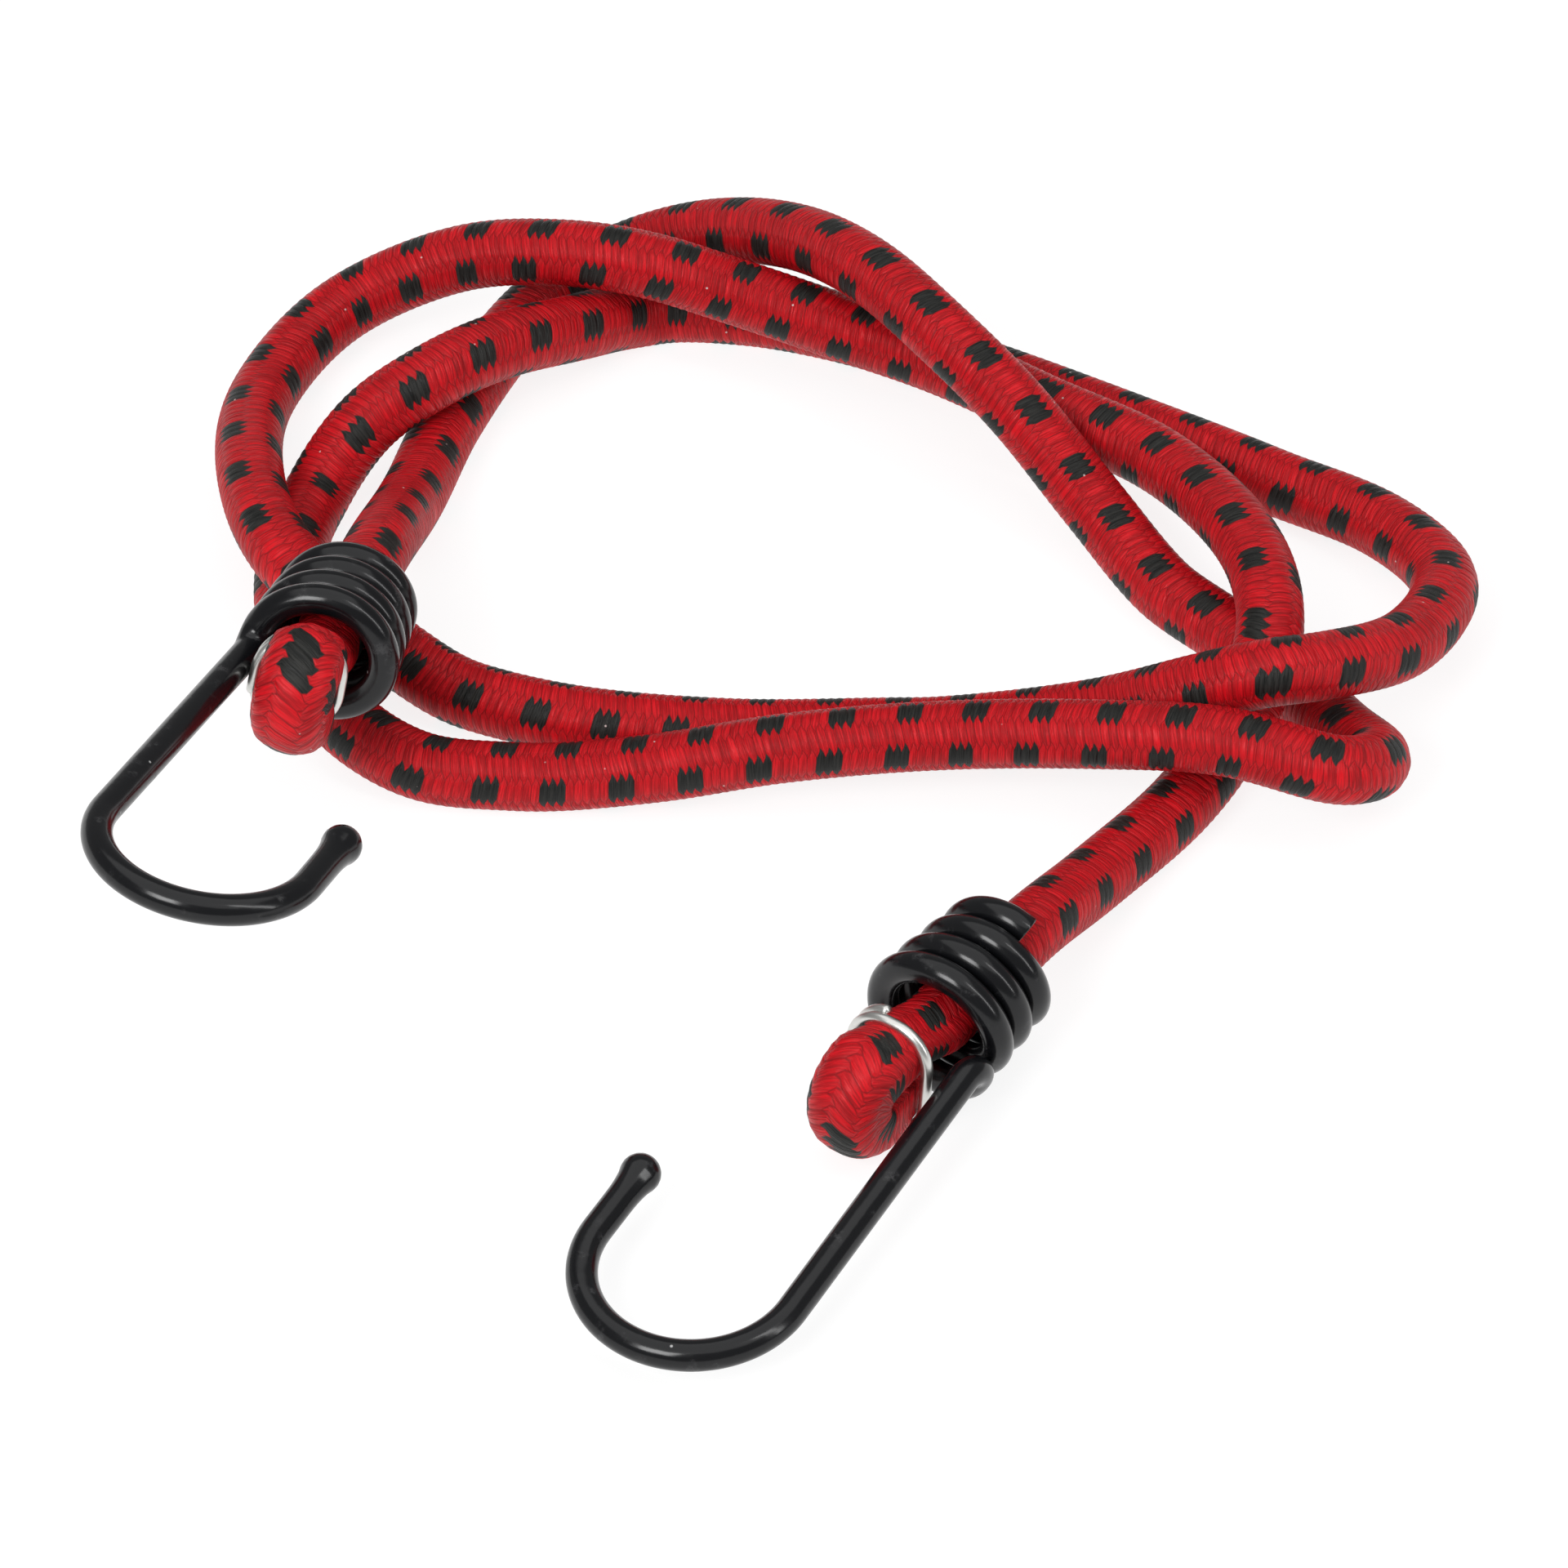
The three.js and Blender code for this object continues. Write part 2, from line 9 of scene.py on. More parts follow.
import bmesh
import bpy
import numpy as np
from bpy.types import Material, Node, NodeSocket, NodeTree, Object
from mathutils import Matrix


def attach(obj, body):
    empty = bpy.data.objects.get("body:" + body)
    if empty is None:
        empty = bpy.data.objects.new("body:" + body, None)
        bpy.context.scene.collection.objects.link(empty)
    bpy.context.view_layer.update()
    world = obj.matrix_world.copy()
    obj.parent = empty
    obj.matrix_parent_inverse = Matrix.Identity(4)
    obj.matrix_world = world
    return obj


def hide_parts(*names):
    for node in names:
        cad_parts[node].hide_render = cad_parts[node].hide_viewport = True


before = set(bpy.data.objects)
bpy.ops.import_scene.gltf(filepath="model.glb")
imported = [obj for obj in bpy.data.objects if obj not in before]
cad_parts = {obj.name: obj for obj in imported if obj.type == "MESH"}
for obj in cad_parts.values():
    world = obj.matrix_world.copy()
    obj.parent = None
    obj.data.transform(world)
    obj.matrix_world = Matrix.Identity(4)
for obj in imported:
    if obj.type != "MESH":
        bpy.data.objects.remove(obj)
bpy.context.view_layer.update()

LOG = logging.getLogger("bungee")
MM = 0.001

# Points that lie nearer than this, in metres, are one point
MERGE = 1e-7

Array = np.ndarray
Colour = tuple[float, float, float, float]
Span = tuple[float, float]
WHITE: Colour = (1.0, 1.0, 1.0, 1.0)

# The route is laid out from the middle of the picture. The part's origin lies this far from there.
ORIGIN_SHIFT = np.array([23.426, 42.661, 0.0])

# Centre of the cord between its two ends, in millimetres, in the three rounds of the bundle
FIRST_ROUND = [
    [-42.6, 43.0, 5.4], [-38.0, 60.4, 3.1], [-27.6, 80.4, 3.1], [-17.8, 87.1, 4.5], [-8.6, 86.0, 8.5],
    [1.0, 78.8, 14.0], [9.5, 68.4, 17.9], [17.9, 57.5, 17.8], [26.8, 48.9, 13.4], [35.6, 40.0, 6.5],
    [44.0, 28.6, 3.1], [54.7, 17.4, 3.1], [62.6, 4.8, 4.0], [66.4, -4.5, 7.7], [61.9, -10.0, 11.4],
]
SECOND_ROUND = [
    [49.2, -7.4, 13.4], [34.7, -4.5, 11.8], [17.4, -1.9, 9.2], [0.0, -2.7, 8.0], [-14.7, -3.0, 5.2],
    [-29.4, -2.2, 3.1], [-41.3, -0.2, 3.1], [-51.6, 10.0, 3.1], [-56.7, 27.4, 3.1], [-54.4, 43.9, 3.1],
    [-48.2, 51.3, 9.1], [-40.5, 56.0, 12.2], [-33.1, 62.1, 11.4], [-24.7, 69.7, 7.6], [-16.3, 77.6, 3.1],
    [-5.7, 77.9, 3.1], [6.2, 74.9, 3.1], [22.9, 67.1, 3.1], [40.2, 57.5, 3.1], [56.6, 47.8, 3.1],
    [68.9, 39.2, 4.0], [75.2, 26.9, 6.5], [70.0, 11.4, 11.0], [60.4, 2.9, 15.4], [53.9, 0.6, 16.4],
]
THIRD_ROUND = [
    [47.1, 1.6, 13.4], [34.9, 4.4, 6.8], [15.7, 5.3, 3.1], [-5.5, 5.1, 3.1], [-24.0, 7.4, 3.1],
    [-36.1, 11.6, 3.1], [-43.5, 16.1, 5.0], [-50.0, 18.5, 9.9], [-56.4, 24.7, 12.0], [-61.0, 40.1, 9.9],
    [-60.3, 61.6, 4.8], [-51.6, 75.7, 5.5], [-37.9, 78.7, 10.6], [-25.7, 76.0, 13.8], [-16.2, 74.4, 13.4],
    [-5.7, 72.8, 10.6], [6.2, 68.3, 9.2], [18.0, 62.7, 8.7], [30.3, 55.0, 8.0], [43.2, 46.0, 8.0],
    [53.0, 28.2, 10.8], [54.9, 13.7, 11.6], [53.2, 7.2, 8.4], [50.3, 2.7, 4.6], [44.9, -6.0, 3.1],
    [34.5, -21.3, 5.5],
]


class Body(Enum):
    """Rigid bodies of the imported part."""

    CORD = "cord"
    END_A = "end_a"
    HOOK_A = "hook_a"
    END_B = "end_b"
    HOOK_B = "hook_b"


class Slot(Enum):
    """Material slots of the record."""

    COVER = "cover"
    CORE = "core"
    COATING = "coating"
    RING = "ring"


def smoothstep(values: Array, low: float, high: float) -> Array:
    """Ease numbers from 0 at low to 1 at high."""
    share = np.clip((values - low) / (high - low), 0.0, 1.0)
    return share * share * (3.0 - 2.0 * share)


def centripetal_spline(points: Array, per_span: int) -> Array:
    """Draw a smooth curve through points of any dimension.

    Args:
        points: the points, one per row.
        per_span: samples between two neighbours.

    Returns:
        Samples along the curve, one per row.
    """
    ends = np.vstack([2 * points[0] - points[1], points, 2 * points[-1] - points[-2]])
    shares = np.linspace(0.0, 1.0, per_span, endpoint=False)[:, None]
    samples = []
    for index in range(1, len(ends) - 2):
        before, here, after, beyond = ends[index - 1:index + 3]
        gap_back = np.sum((here - before) ** 2) ** 0.25
        gap_here = np.sum((after - here) ** 2) ** 0.25
        gap_next = np.sum((beyond - after) ** 2) ** 0.25
        slope = (after - here) / gap_here
        leave = (here - before) / gap_back - (after - before) / (gap_back + gap_here) + slope
        arrive = slope - (beyond - here) / (gap_here + gap_next) + (beyond - after) / gap_next
        leave = leave * gap_here
        arrive = arrive * gap_here
        square = -3 * here + 3 * after - 2 * leave - arrive
        cube = 2 * here - 2 * after + leave + arrive
        samples.append(here + leave * shares + square * shares ** 2 + cube * shares ** 3)
    samples.append(points[-1:])
    return np.vstack(samples)


def signed_power(values: Array, power: Array) -> Array:
    """Raise numbers to a power and keep their signs."""
    return np.sign(values) * np.abs(values) ** power


def unit(vectors: Array) -> Array:
    """Scale each row to length one."""
    return vectors / np.linalg.norm(vectors, axis=-1, keepdims=True)


def run_lengths(points: Array) -> Array:
    """Measure the way along a line up to each of its points."""
    return np.concatenate([[0.0], np.cumsum(np.linalg.norm(np.diff(points, axis=0), axis=1))])


def resampled(points: Array, count: int) -> Array:
    """Set the points of a line anew at even steps.

    Args:
        points: the line.
        count: how many points to set.

    Returns:
        The new points.
    """
    runs = run_lengths(points)
    even = np.linspace(0.0, runs[-1], count)
    return np.stack([np.interp(even, runs, column) for column in points.T], axis=1)


@dataclass(frozen=True)
class Line:
    """A centre line of closely spaced points, with a frame that doesn't twist along it."""

    points: Array
    across: Array
    height: Array
    runs: Array

    @classmethod
    def through(cls, points: Array, across: Array | None = None) -> "Line":
        """Set a frame at every point of a line.

        Args:
            points: the line's points.
            across: a fixed direction that the frame keeps to, or None to carry the frame along.

        Returns:
            The line with its frames.
        """
        tangents = unit(np.gradient(points, axis=0))
        if across is None:
            sides = [np.cross(tangents[0], [0.0, 0.0, 1.0])]
            for tangent in tangents[1:]:
                last = sides[-1]
                sides.append(unit(last - tangent * np.dot(last, tangent)))
            sides = unit(np.array(sides))
        else:
            sides = unit(across - tangents * (tangents @ across)[:, None])
        return cls(points, sides, np.cross(tangents, sides), run_lengths(points))

    @property
    def length(self) -> float:
        """Length of the line."""
        return float(self.runs[-1])

    def read(self, rows: Array, runs: Array) -> Array:
        """Read a value kept at every point at distances along the line.

        Args:
            rows: the values, one row per point.
            runs: distances along the line.

        Returns:
            The values there.
        """
        columns = rows.reshape(len(rows), -1)
        read = [np.interp(runs, self.runs, column) for column in columns.T]
        return np.stack(read, axis=-1).reshape(len(runs), *rows.shape[1:])

    def around(self, runs: Array, angle: Array, radius: Array) -> Array:
        """Set points round the line.

        Args:
            runs: distances along the line.
            angle: the turn round it, in radians.
            radius: the distance from it.

        Returns:
            The points.
        """
        outward = np.cos(angle)[:, None] * self.read(self.across, runs)
        outward = outward + np.sin(angle)[:, None] * self.read(self.height, runs)
        return self.read(self.points, runs) + unit(outward) * radius[:, None]


@dataclass(frozen=True)
class HookPlace:
    """Where a hook lies: the middle of its coil's mouth, and how its axis points, tilts and rolls.

    The ring and the fold lie in front of the mouth, and fold_side tells which way the cord folds.
    """

    mouth: tuple[float, float, float]
    azimuth: float
    tilt: float
    roll: float
    straight_run: float
    ring_place: float
    fold_reach: float
    fold_shift: float
    fold_side: int

    @property
    def basis(self) -> Array:
        """Rows are the coil's axis, the way from shank to tip, and the way across both.

        Returns:
            The three directions, one per row.
        """
        azimuth, tilt, roll = np.radians([self.azimuth, self.tilt, self.roll])
        axis = np.array([
            math.cos(tilt) * math.cos(azimuth),
            math.cos(tilt) * math.sin(azimuth),
            math.sin(tilt),
        ])
        side = unit(np.cross(axis, [0.0, 0.0, 1.0]))
        up = np.cross(side, axis)
        lateral = math.cos(roll) * side + math.sin(roll) * up
        return np.array([axis, lateral, np.cross(axis, lateral)])

    def to_part(self, places: Array) -> Array:
        """Move places from the hook's frame, in millimetres, to the part's, in metres."""
        return (places @ self.basis + np.array(self.mouth) + ORIGIN_SHIFT) * MM


HOOK_A = HookPlace(
    mouth=(-51.9, -4.05, 22.7), azimuth=-103.9, tilt=12.0, roll=187.5, straight_run=24.5,
    ring_place=4.6, fold_reach=1.45, fold_shift=-0.2, fold_side=1,
)
HOOK_B = HookPlace(
    mouth=(15.4, -49.2, 8.71), azimuth=-127.8, tilt=-4.0, roll=0.9, straight_run=18.5,
    ring_place=6.1, fold_reach=4.05, fold_shift=0.0, fold_side=-1,
)


class Sheet:
    """Adds nodes to a shader tree with short calls."""

    def __init__(self, tree: NodeTree) -> None:
        """Empty the tree that is to be filled."""
        self.tree = tree
        self.tree.nodes.clear()

    def node(self, kind: str, inputs: dict | None = None, **settings: object) -> Node:
        """Add one node.

        Args:
            kind: the node's type name.
            inputs: values or sockets for its inputs, by name or index.
            **settings: the node's own properties.

        Returns:
            The new node.
        """
        made = self.tree.nodes.new(kind)
        for name, value in settings.items():
            setattr(made, name, value)
        for name, value in (inputs or {}).items():
            self.feed(made.inputs[name], value)
        return made

    def feed(self, socket: NodeSocket, value: object) -> None:
        """Link a socket into an input, or set the input's value.

        Args:
            socket: the input.
            value: a socket to link, or a plain value.
        """
        if isinstance(value, NodeSocket):
            self.tree.links.new(value, socket)
        else:
            socket.default_value = value

    def math(self, operation: str, *values: object) -> NodeSocket:
        """Add a Math node and give its result."""
        return self.node("ShaderNodeMath", dict(enumerate(values)), operation=operation).outputs[0]

    def ease(self, value: object, low: float, high: float) -> NodeSocket:
        """Ease a value from 0 at low to 1 at high."""
        inputs = {"Value": value, "From Min": low, "From Max": high}
        return self.node("ShaderNodeMapRange", inputs, interpolation_type="SMOOTHSTEP").outputs["Result"]

    def scale(self, value: object, low: float, high: float) -> NodeSocket:
        """Map 0 to 1 onto low to high."""
        inputs = {"Value": value, "To Min": low, "To Max": high}
        return self.node("ShaderNodeMapRange", inputs).outputs["Result"]

    def blend(self, share: object, first: object, second: object) -> NodeSocket:
        """Mix two colours."""
        return self.node("ShaderNodeMix", {0: share, 6: first, 7: second}, data_type="RGBA").outputs[2]

    def noise(self, vector: object, scale: object, detail: float = 2.0) -> NodeSocket:
        """Add a noise texture and give its value."""
        inputs = {"Vector": vector, "Scale": scale, "Detail": detail}
        return self.node("ShaderNodeTexNoise", inputs).outputs[0]

    def join(self, x: object, y: object, z: object = 0.0) -> NodeSocket:
        """Join three numbers into a vector."""
        return self.node("ShaderNodeCombineXYZ", {0: x, 1: y, 2: z}).outputs[0]

    def place(self) -> NodeSocket:
        """Give the place on the piece."""
        return self.node("ShaderNodeTexCoord").outputs["Object"]

    def paint(self, shader: Node, colour: object, roughness: object, height: object) -> None:
        """Feed a material's shader.

        Args:
            shader: the Principled shader.
            colour: its base colour.
            roughness: its roughness.
            height: the height of its fine relief, in metres.
        """
        normal = self.node("ShaderNodeBump", {"Height": height, "Strength": 1.0, "Distance": 1.0})
        self.feed(shader.inputs["Base Color"], colour)
        self.feed(shader.inputs["Roughness"], roughness)
        self.feed(shader.inputs["Normal"], normal.outputs[0])


class Effect(Enum):
    """Shader node groups that several materials share."""

    GRAIN = "grain"
    LINT = "lint"


def new_group(kind: Effect, numbers: list[str], results: list[str]) -> tuple[Sheet, Node]:
    """Start a shared group that reads a place.

    Args:
        kind: which group.
        numbers: names of its number inputs.
        results: names of its outputs.

    Returns:
        A sheet on the group's tree, and the node that holds the inputs.
    """
    tree = bpy.data.node_groups.new(kind.value, "ShaderNodeTree")
    tree.interface.new_socket("Place", in_out="INPUT", socket_type="NodeSocketVector")
    for name in numbers:
        tree.interface.new_socket(name, in_out="INPUT", socket_type="NodeSocketFloat")
    for name in results:
        tree.interface.new_socket(name, in_out="OUTPUT", socket_type="NodeSocketFloat")
    sheet = Sheet(tree)
    return sheet, sheet.node("NodeGroupInput")


@dataclass(frozen=True)
class GrainEffect:
    """Fine uneven grain: a value for roughness and colour, and a height for bump."""

    coarse: float = 0.22
    detail: float = 4.0

    def group(self) -> NodeTree:
        """Build the node group.

        Returns:
            The group, with Place and Scale in, and Value and Height out.
        """
        sheet, given = new_group(Effect.GRAIN, ["Scale"], ["Value", "Height"])
        fine = sheet.noise(given.outputs["Place"], given.outputs["Scale"], self.detail)
        broad_scale = sheet.math("MULTIPLY", given.outputs["Scale"], self.coarse)
        broad = sheet.noise(given.outputs["Place"], broad_scale, self.detail)
        value = sheet.math("MULTIPLY", sheet.math("ADD", fine, broad), 0.5)
        sheet.node("NodeGroupOutput", {"Value": value, "Height": fine})
        return sheet.tree


@dataclass(frozen=True)
class LintEffect:
    """Sparse pale specks of lint and dust that lie on a surface."""

    core: float = 0.05
    rim: float = 0.16

    def group(self) -> NodeTree:
        """Build the node group.

        Returns:
            The group, with Place, Scale and Share in, and Mask out.
        """
        sheet, given = new_group(Effect.LINT, ["Scale", "Share"], ["Mask"])
        inputs = {"Vector": given.outputs["Place"], "Scale": given.outputs["Scale"]}
        cells = sheet.node("ShaderNodeTexVoronoi", inputs)
        chance = sheet.node("ShaderNodeSeparateColor", {0: cells.outputs["Color"]}).outputs[0]
        chosen = sheet.math("LESS_THAN", chance, given.outputs["Share"])
        near = sheet.ease(cells.outputs["Distance"], self.rim, self.core)
        sheet.node("NodeGroupOutput", {"Mask": sheet.math("MULTIPLY", chosen, near)})
        return sheet.tree


def effect(sheet: Sheet, kind: Effect, **inputs: object) -> Node:
    """Place a shared group in a material, with values or sockets for its inputs."""
    return sheet.node("ShaderNodeGroup", inputs, node_tree=bpy.data.node_groups[kind.value])


def new_material(name: str) -> tuple[Material, Sheet, Node]:
    """Make a material with a Principled shader.

    Args:
        name: the material's name.

    Returns:
        The material, a sheet on its tree and the shader node.
    """
    material = bpy.data.materials.new(name)
    material.use_nodes = True
    sheet = Sheet(material.node_tree)
    shader = sheet.node("ShaderNodeBsdfPrincipled")
    output = sheet.node("ShaderNodeOutputMaterial")
    sheet.tree.links.new(shader.outputs[0], output.inputs[0])
    return material, sheet, shader


@dataclass(frozen=True)
class BraidFinish:
    """Braided yarn: pointed strokes in columns that lean both ways, with three black yarns in eight.

    The UV map counts strokes along the cord and columns round it. Even columns lean one way and
    hold the black yarns, and odd columns lean the other way, half a stroke further on.
    """

    red: Colour = (0.68, 0.006, 0.013, 1.0)
    deep_red: Colour = (0.2, 0.0011, 0.003, 1.0)
    # Painted shade: the dark red that fills the gaps between strokes
    seam_shade_red: Colour = (0.1, 0.0008, 0.002, 1.0)
    black: Colour = (0.006, 0.0065, 0.006, 1.0)
    # Black yarn made lighter along its fibre streaks
    streaked_black: Colour = (0.022, 0.022, 0.02, 1.0)
    lint: Colour = (0.62, 0.5, 0.48, 1.0)
    black_yarns: float = 3.0
    yarns: float = 8.0
    tip: float = 0.18
    stroke_depth: float = 0.00008
    filament_depth: float = 0.00006
    soft_edge: float = 0.02
    edge_slope: float = 2.4
    # How far the painted shade of the gaps reaches into a stroke, and how strong it is
    crown_reach: float = 0.6
    seam_shade_reach: float = 0.2
    seam_shade_share: float = 0.6
    second_seed: float = 7.0
    fibres: float = 6.0
    fibre_detail: float = 3.0
    fibre_limits: Span = (0.32, 0.68)
    patches: float = 0.08
    patch_scale: float = 0.6
    stroke_shade: Span = (0.0, 0.2)
    fibre_shade: Span = (0.05, 0.65)
    patch_shade: Span = (-0.1, 0.15)
    roughness: Span = (0.36, 0.56)
    gloss: float = 0.2
    lint_scale: float = 900.0
    lint_share: float = 0.02

    def material(self) -> Material:
        """Build the material.

        Returns:
            The braided cover's material.
        """
        material, sheet, shader = new_material("braided_cover")
        uv = sheet.node("ShaderNodeUVMap", uv_map="braid").outputs[0]
        split = sheet.node("ShaderNodeSeparateXYZ", {0: uv})
        row, column = split.outputs[0], split.outputs[1]

        saw = sheet.math("SUBTRACT", sheet.math("MULTIPLY", sheet.math("FRACT", row), 2.0), 1.0)
        lean_one = sheet.math("SUBTRACT", 1.0, sheet.math("ABSOLUTE", saw))
        lean_two = sheet.math("SUBTRACT", 1.0, lean_one)
        wrapped = sheet.math("FLOORED_MODULO", sheet.math("ADD", column, 0.5), 2.0)
        off_middle = sheet.math("ABSOLUTE", sheet.math("SUBTRACT", wrapped, 1.0))
        reach = sheet.math("MULTIPLY_ADD", lean_one, 2.0 * self.tip, 0.5 - self.tip)
        inside = sheet.math("SUBTRACT", reach, off_middle)
        is_one = sheet.ease(inside, -self.soft_edge, self.soft_edge)

        pair = sheet.math("FLOOR", sheet.math("MULTIPLY", sheet.math("ADD", column, 0.5), 0.5))
        turn = sheet.math("SUBTRACT", sheet.math("FLOOR", row), sheet.math("MULTIPLY", pair, 2.0))
        yarn = sheet.math("FLOORED_MODULO", sheet.math("ADD", turn, 0.5), self.yarns)
        is_black = sheet.math("MULTIPLY", sheet.math("LESS_THAN", yarn, self.black_yarns), is_one)

        edge_one = sheet.math("MINIMUM", lean_one, sheet.math("MULTIPLY", inside, self.edge_slope))
        edge_two = sheet.math("MINIMUM", lean_two, sheet.math("MULTIPLY", inside, -self.edge_slope))
        edge = sheet.math("MAXIMUM", edge_one, edge_two)
        crown = sheet.ease(edge, 0.0, self.crown_reach)
        # Painted shade: darker towards each stroke's edge, in the gaps between strokes
        seam_shade = sheet.ease(edge, self.seam_shade_reach, 0.0)

        row_two = sheet.math("FLOOR", sheet.math("ADD", row, 0.5))
        cell_one = sheet.join(sheet.math("FLOOR", row), pair)
        cell_two = sheet.join(row_two, sheet.math("FLOOR", column), self.second_seed)
        cell = sheet.node("ShaderNodeMix", {0: is_one, 4: cell_two, 5: cell_one}, data_type="VECTOR")
        chance = sheet.node("ShaderNodeTexWhiteNoise", {"Vector": cell.outputs[1]}).outputs[0]

        fibre_place = sheet.join(sheet.math("MULTIPLY", row, self.fibres), column)
        fibre = sheet.ease(sheet.noise(fibre_place, 1.0, self.fibre_detail), *self.fibre_limits)
        patch_place = sheet.join(sheet.math("MULTIPLY", row, self.patches), column)
        patch = sheet.noise(patch_place, self.patch_scale)

        shade = sheet.scale(chance, *self.stroke_shade)
        shade = sheet.math("ADD", shade, sheet.scale(fibre, *self.fibre_shade))
        shade = sheet.math("ADD", shade, sheet.scale(patch, *self.patch_shade))
        red = sheet.blend(shade, self.red, self.deep_red)
        # Paint the shade of the gaps between strokes into the red
        red = sheet.blend(sheet.math("MULTIPLY", seam_shade, self.seam_shade_share), red, self.seam_shade_red)
        # Black yarns lighter along the fibre streaks
        black = sheet.blend(fibre, self.black, self.streaked_black)
        yarn_colour = sheet.blend(is_black, red, black)
        lint = effect(sheet, Effect.LINT, Place=sheet.place(), Scale=self.lint_scale, Share=self.lint_share)
        colour = sheet.blend(lint.outputs["Mask"], yarn_colour, self.lint)

        height = sheet.math("MULTIPLY", crown, self.stroke_depth)
        height = sheet.math("ADD", height, sheet.math("MULTIPLY", fibre, self.filament_depth))
        sheet.paint(shader, colour, sheet.scale(fibre, *self.roughness), height)
        shader.inputs["Specular IOR Level"].default_value = self.gloss
        return material


@dataclass(frozen=True)
class CoatingFinish:
    """Dipped vinyl: half gloss blue black, a little wavy, with scuffs, pits and lint."""

    black: Colour = (0.005, 0.0052, 0.0062, 1.0)
    scuffed: Colour = (0.045, 0.045, 0.047, 1.0)
    lint: Colour = (0.4, 0.4, 0.4, 1.0)
    lint_scale: float = 700.0
    lint_share: float = 0.012
    wave_scale: float = 260.0
    wave_depth: float = 0.00006
    grain_scale: float = 2600.0
    grain_depth: float = 0.000002
    grain_limits: Span = (0.35, 0.7)
    rub_scale: float = 420.0
    rub_detail: float = 5.0
    rub_limits: Span = (0.58, 0.74)
    rub_roughness: float = 0.25
    roughness: Span = (0.14, 0.24)
    gloss: float = 0.36

    def material(self) -> Material:
        """Build the material.

        Returns:
            The hook coating's material.
        """
        material, sheet, shader = new_material("dipped_vinyl")
        place = sheet.place()
        waves = sheet.noise(place, self.wave_scale)
        grain = effect(sheet, Effect.GRAIN, Place=place, Scale=self.grain_scale)
        rub = sheet.ease(sheet.noise(place, self.rub_scale, self.rub_detail), *self.rub_limits)
        rub = sheet.math("MULTIPLY", rub, sheet.ease(grain.outputs["Value"], *self.grain_limits))
        lint = effect(sheet, Effect.LINT, Place=place, Scale=self.lint_scale, Share=self.lint_share)
        colour = sheet.blend(rub, self.black, self.scuffed)
        colour = sheet.blend(lint.outputs["Mask"], colour, self.lint)
        rough = sheet.scale(grain.outputs["Value"], *self.roughness)
        rough = sheet.math("ADD", rough, sheet.scale(rub, 0.0, self.rub_roughness))
        height = sheet.math("MULTIPLY", waves, self.wave_depth)
        height = sheet.math("ADD", height, sheet.math("MULTIPLY", grain.outputs["Height"], self.grain_depth))
        sheet.paint(shader, colour, rough, height)
        shader.inputs["Specular IOR Level"].default_value = self.gloss
        return material


@dataclass(frozen=True)
class MetalFinish:
    """Bare or plated steel wire with fine drawing marks."""

    name: str
    colour: Colour
    roughness: float
    spread: Span = (-0.08, 0.12)
    dulling: float = 0.84
    mark_scale: float = 1900.0
    mark_depth: float = 0.000012

    def material(self) -> Material:
        """Build the material.

        Returns:
            The wire's material.
        """
        material, sheet, shader = new_material(self.name)
        marks = effect(sheet, Effect.GRAIN, Place=sheet.place(), Scale=self.mark_scale).outputs["Value"]
        dull = tuple(part * self.dulling for part in self.colour[:3]) + (1.0,)
        colour = sheet.blend(marks, self.colour, dull)
        rough = sheet.scale(marks, *(self.roughness + change for change in self.spread))
        sheet.paint(shader, colour, rough, sheet.math("MULTIPLY", marks, self.mark_depth))
        shader.inputs["Metallic"].default_value = 1.0
        return material


@dataclass(frozen=True)
class RubberFinish:
    """Cut rubber strands of the core, with shade painted into the gaps between them."""

    pale: Colour = (0.62, 0.5, 0.3, 1.0)
    # Painted shade: the dark colour in the gaps between strands
    gap_shade: Colour = (0.2, 0.14, 0.07, 1.0)
    strand_scale: float = 1100.0
    gap_limits: Span = (0.3, 0.62)
    gap_depth: float = 0.0002
    roughness: float = 0.7

    def material(self) -> Material:
        """Build the material.

        Returns:
            The core's material.
        """
        material, sheet, shader = new_material("rubber_strands")
        inputs = {"Vector": sheet.place(), "Scale": self.strand_scale}
        cells = sheet.node("ShaderNodeTexVoronoi", inputs)
        gap = sheet.ease(cells.outputs["Distance"], *self.gap_limits)
        # Paint shade into the gaps between strands
        colour = sheet.blend(gap, self.pale, self.gap_shade)
        sheet.paint(shader, colour, self.roughness, sheet.math("MULTIPLY", gap, -self.gap_depth))
        return material


@dataclass(frozen=True)
class Finishes:
    """The materials of all pieces."""

    braid: Material
    coating: Material
    steel: Material
    ring: Material
    rubber: Material

    @classmethod
    def build(cls) -> "Finishes":
        """Build the shared groups, then every material once.

        Returns:
            The materials.
        """
        GrainEffect().group()
        LintEffect().group()
        return cls(
            BraidFinish().material(),
            CoatingFinish().material(),
            MetalFinish("drawn_steel", (0.5, 0.51, 0.53, 1.0), 0.35).material(),
            MetalFinish("plated_ring", (0.76, 0.76, 0.73, 1.0), 0.3).material(),
            RubberFinish().material(),
        )


@dataclass(frozen=True)
class UvMap:
    """Size of a tube's UV map along and round it, and the count that it starts from along it."""

    along: float = 1.0
    around: float = 1.0
    start: float = 0.0


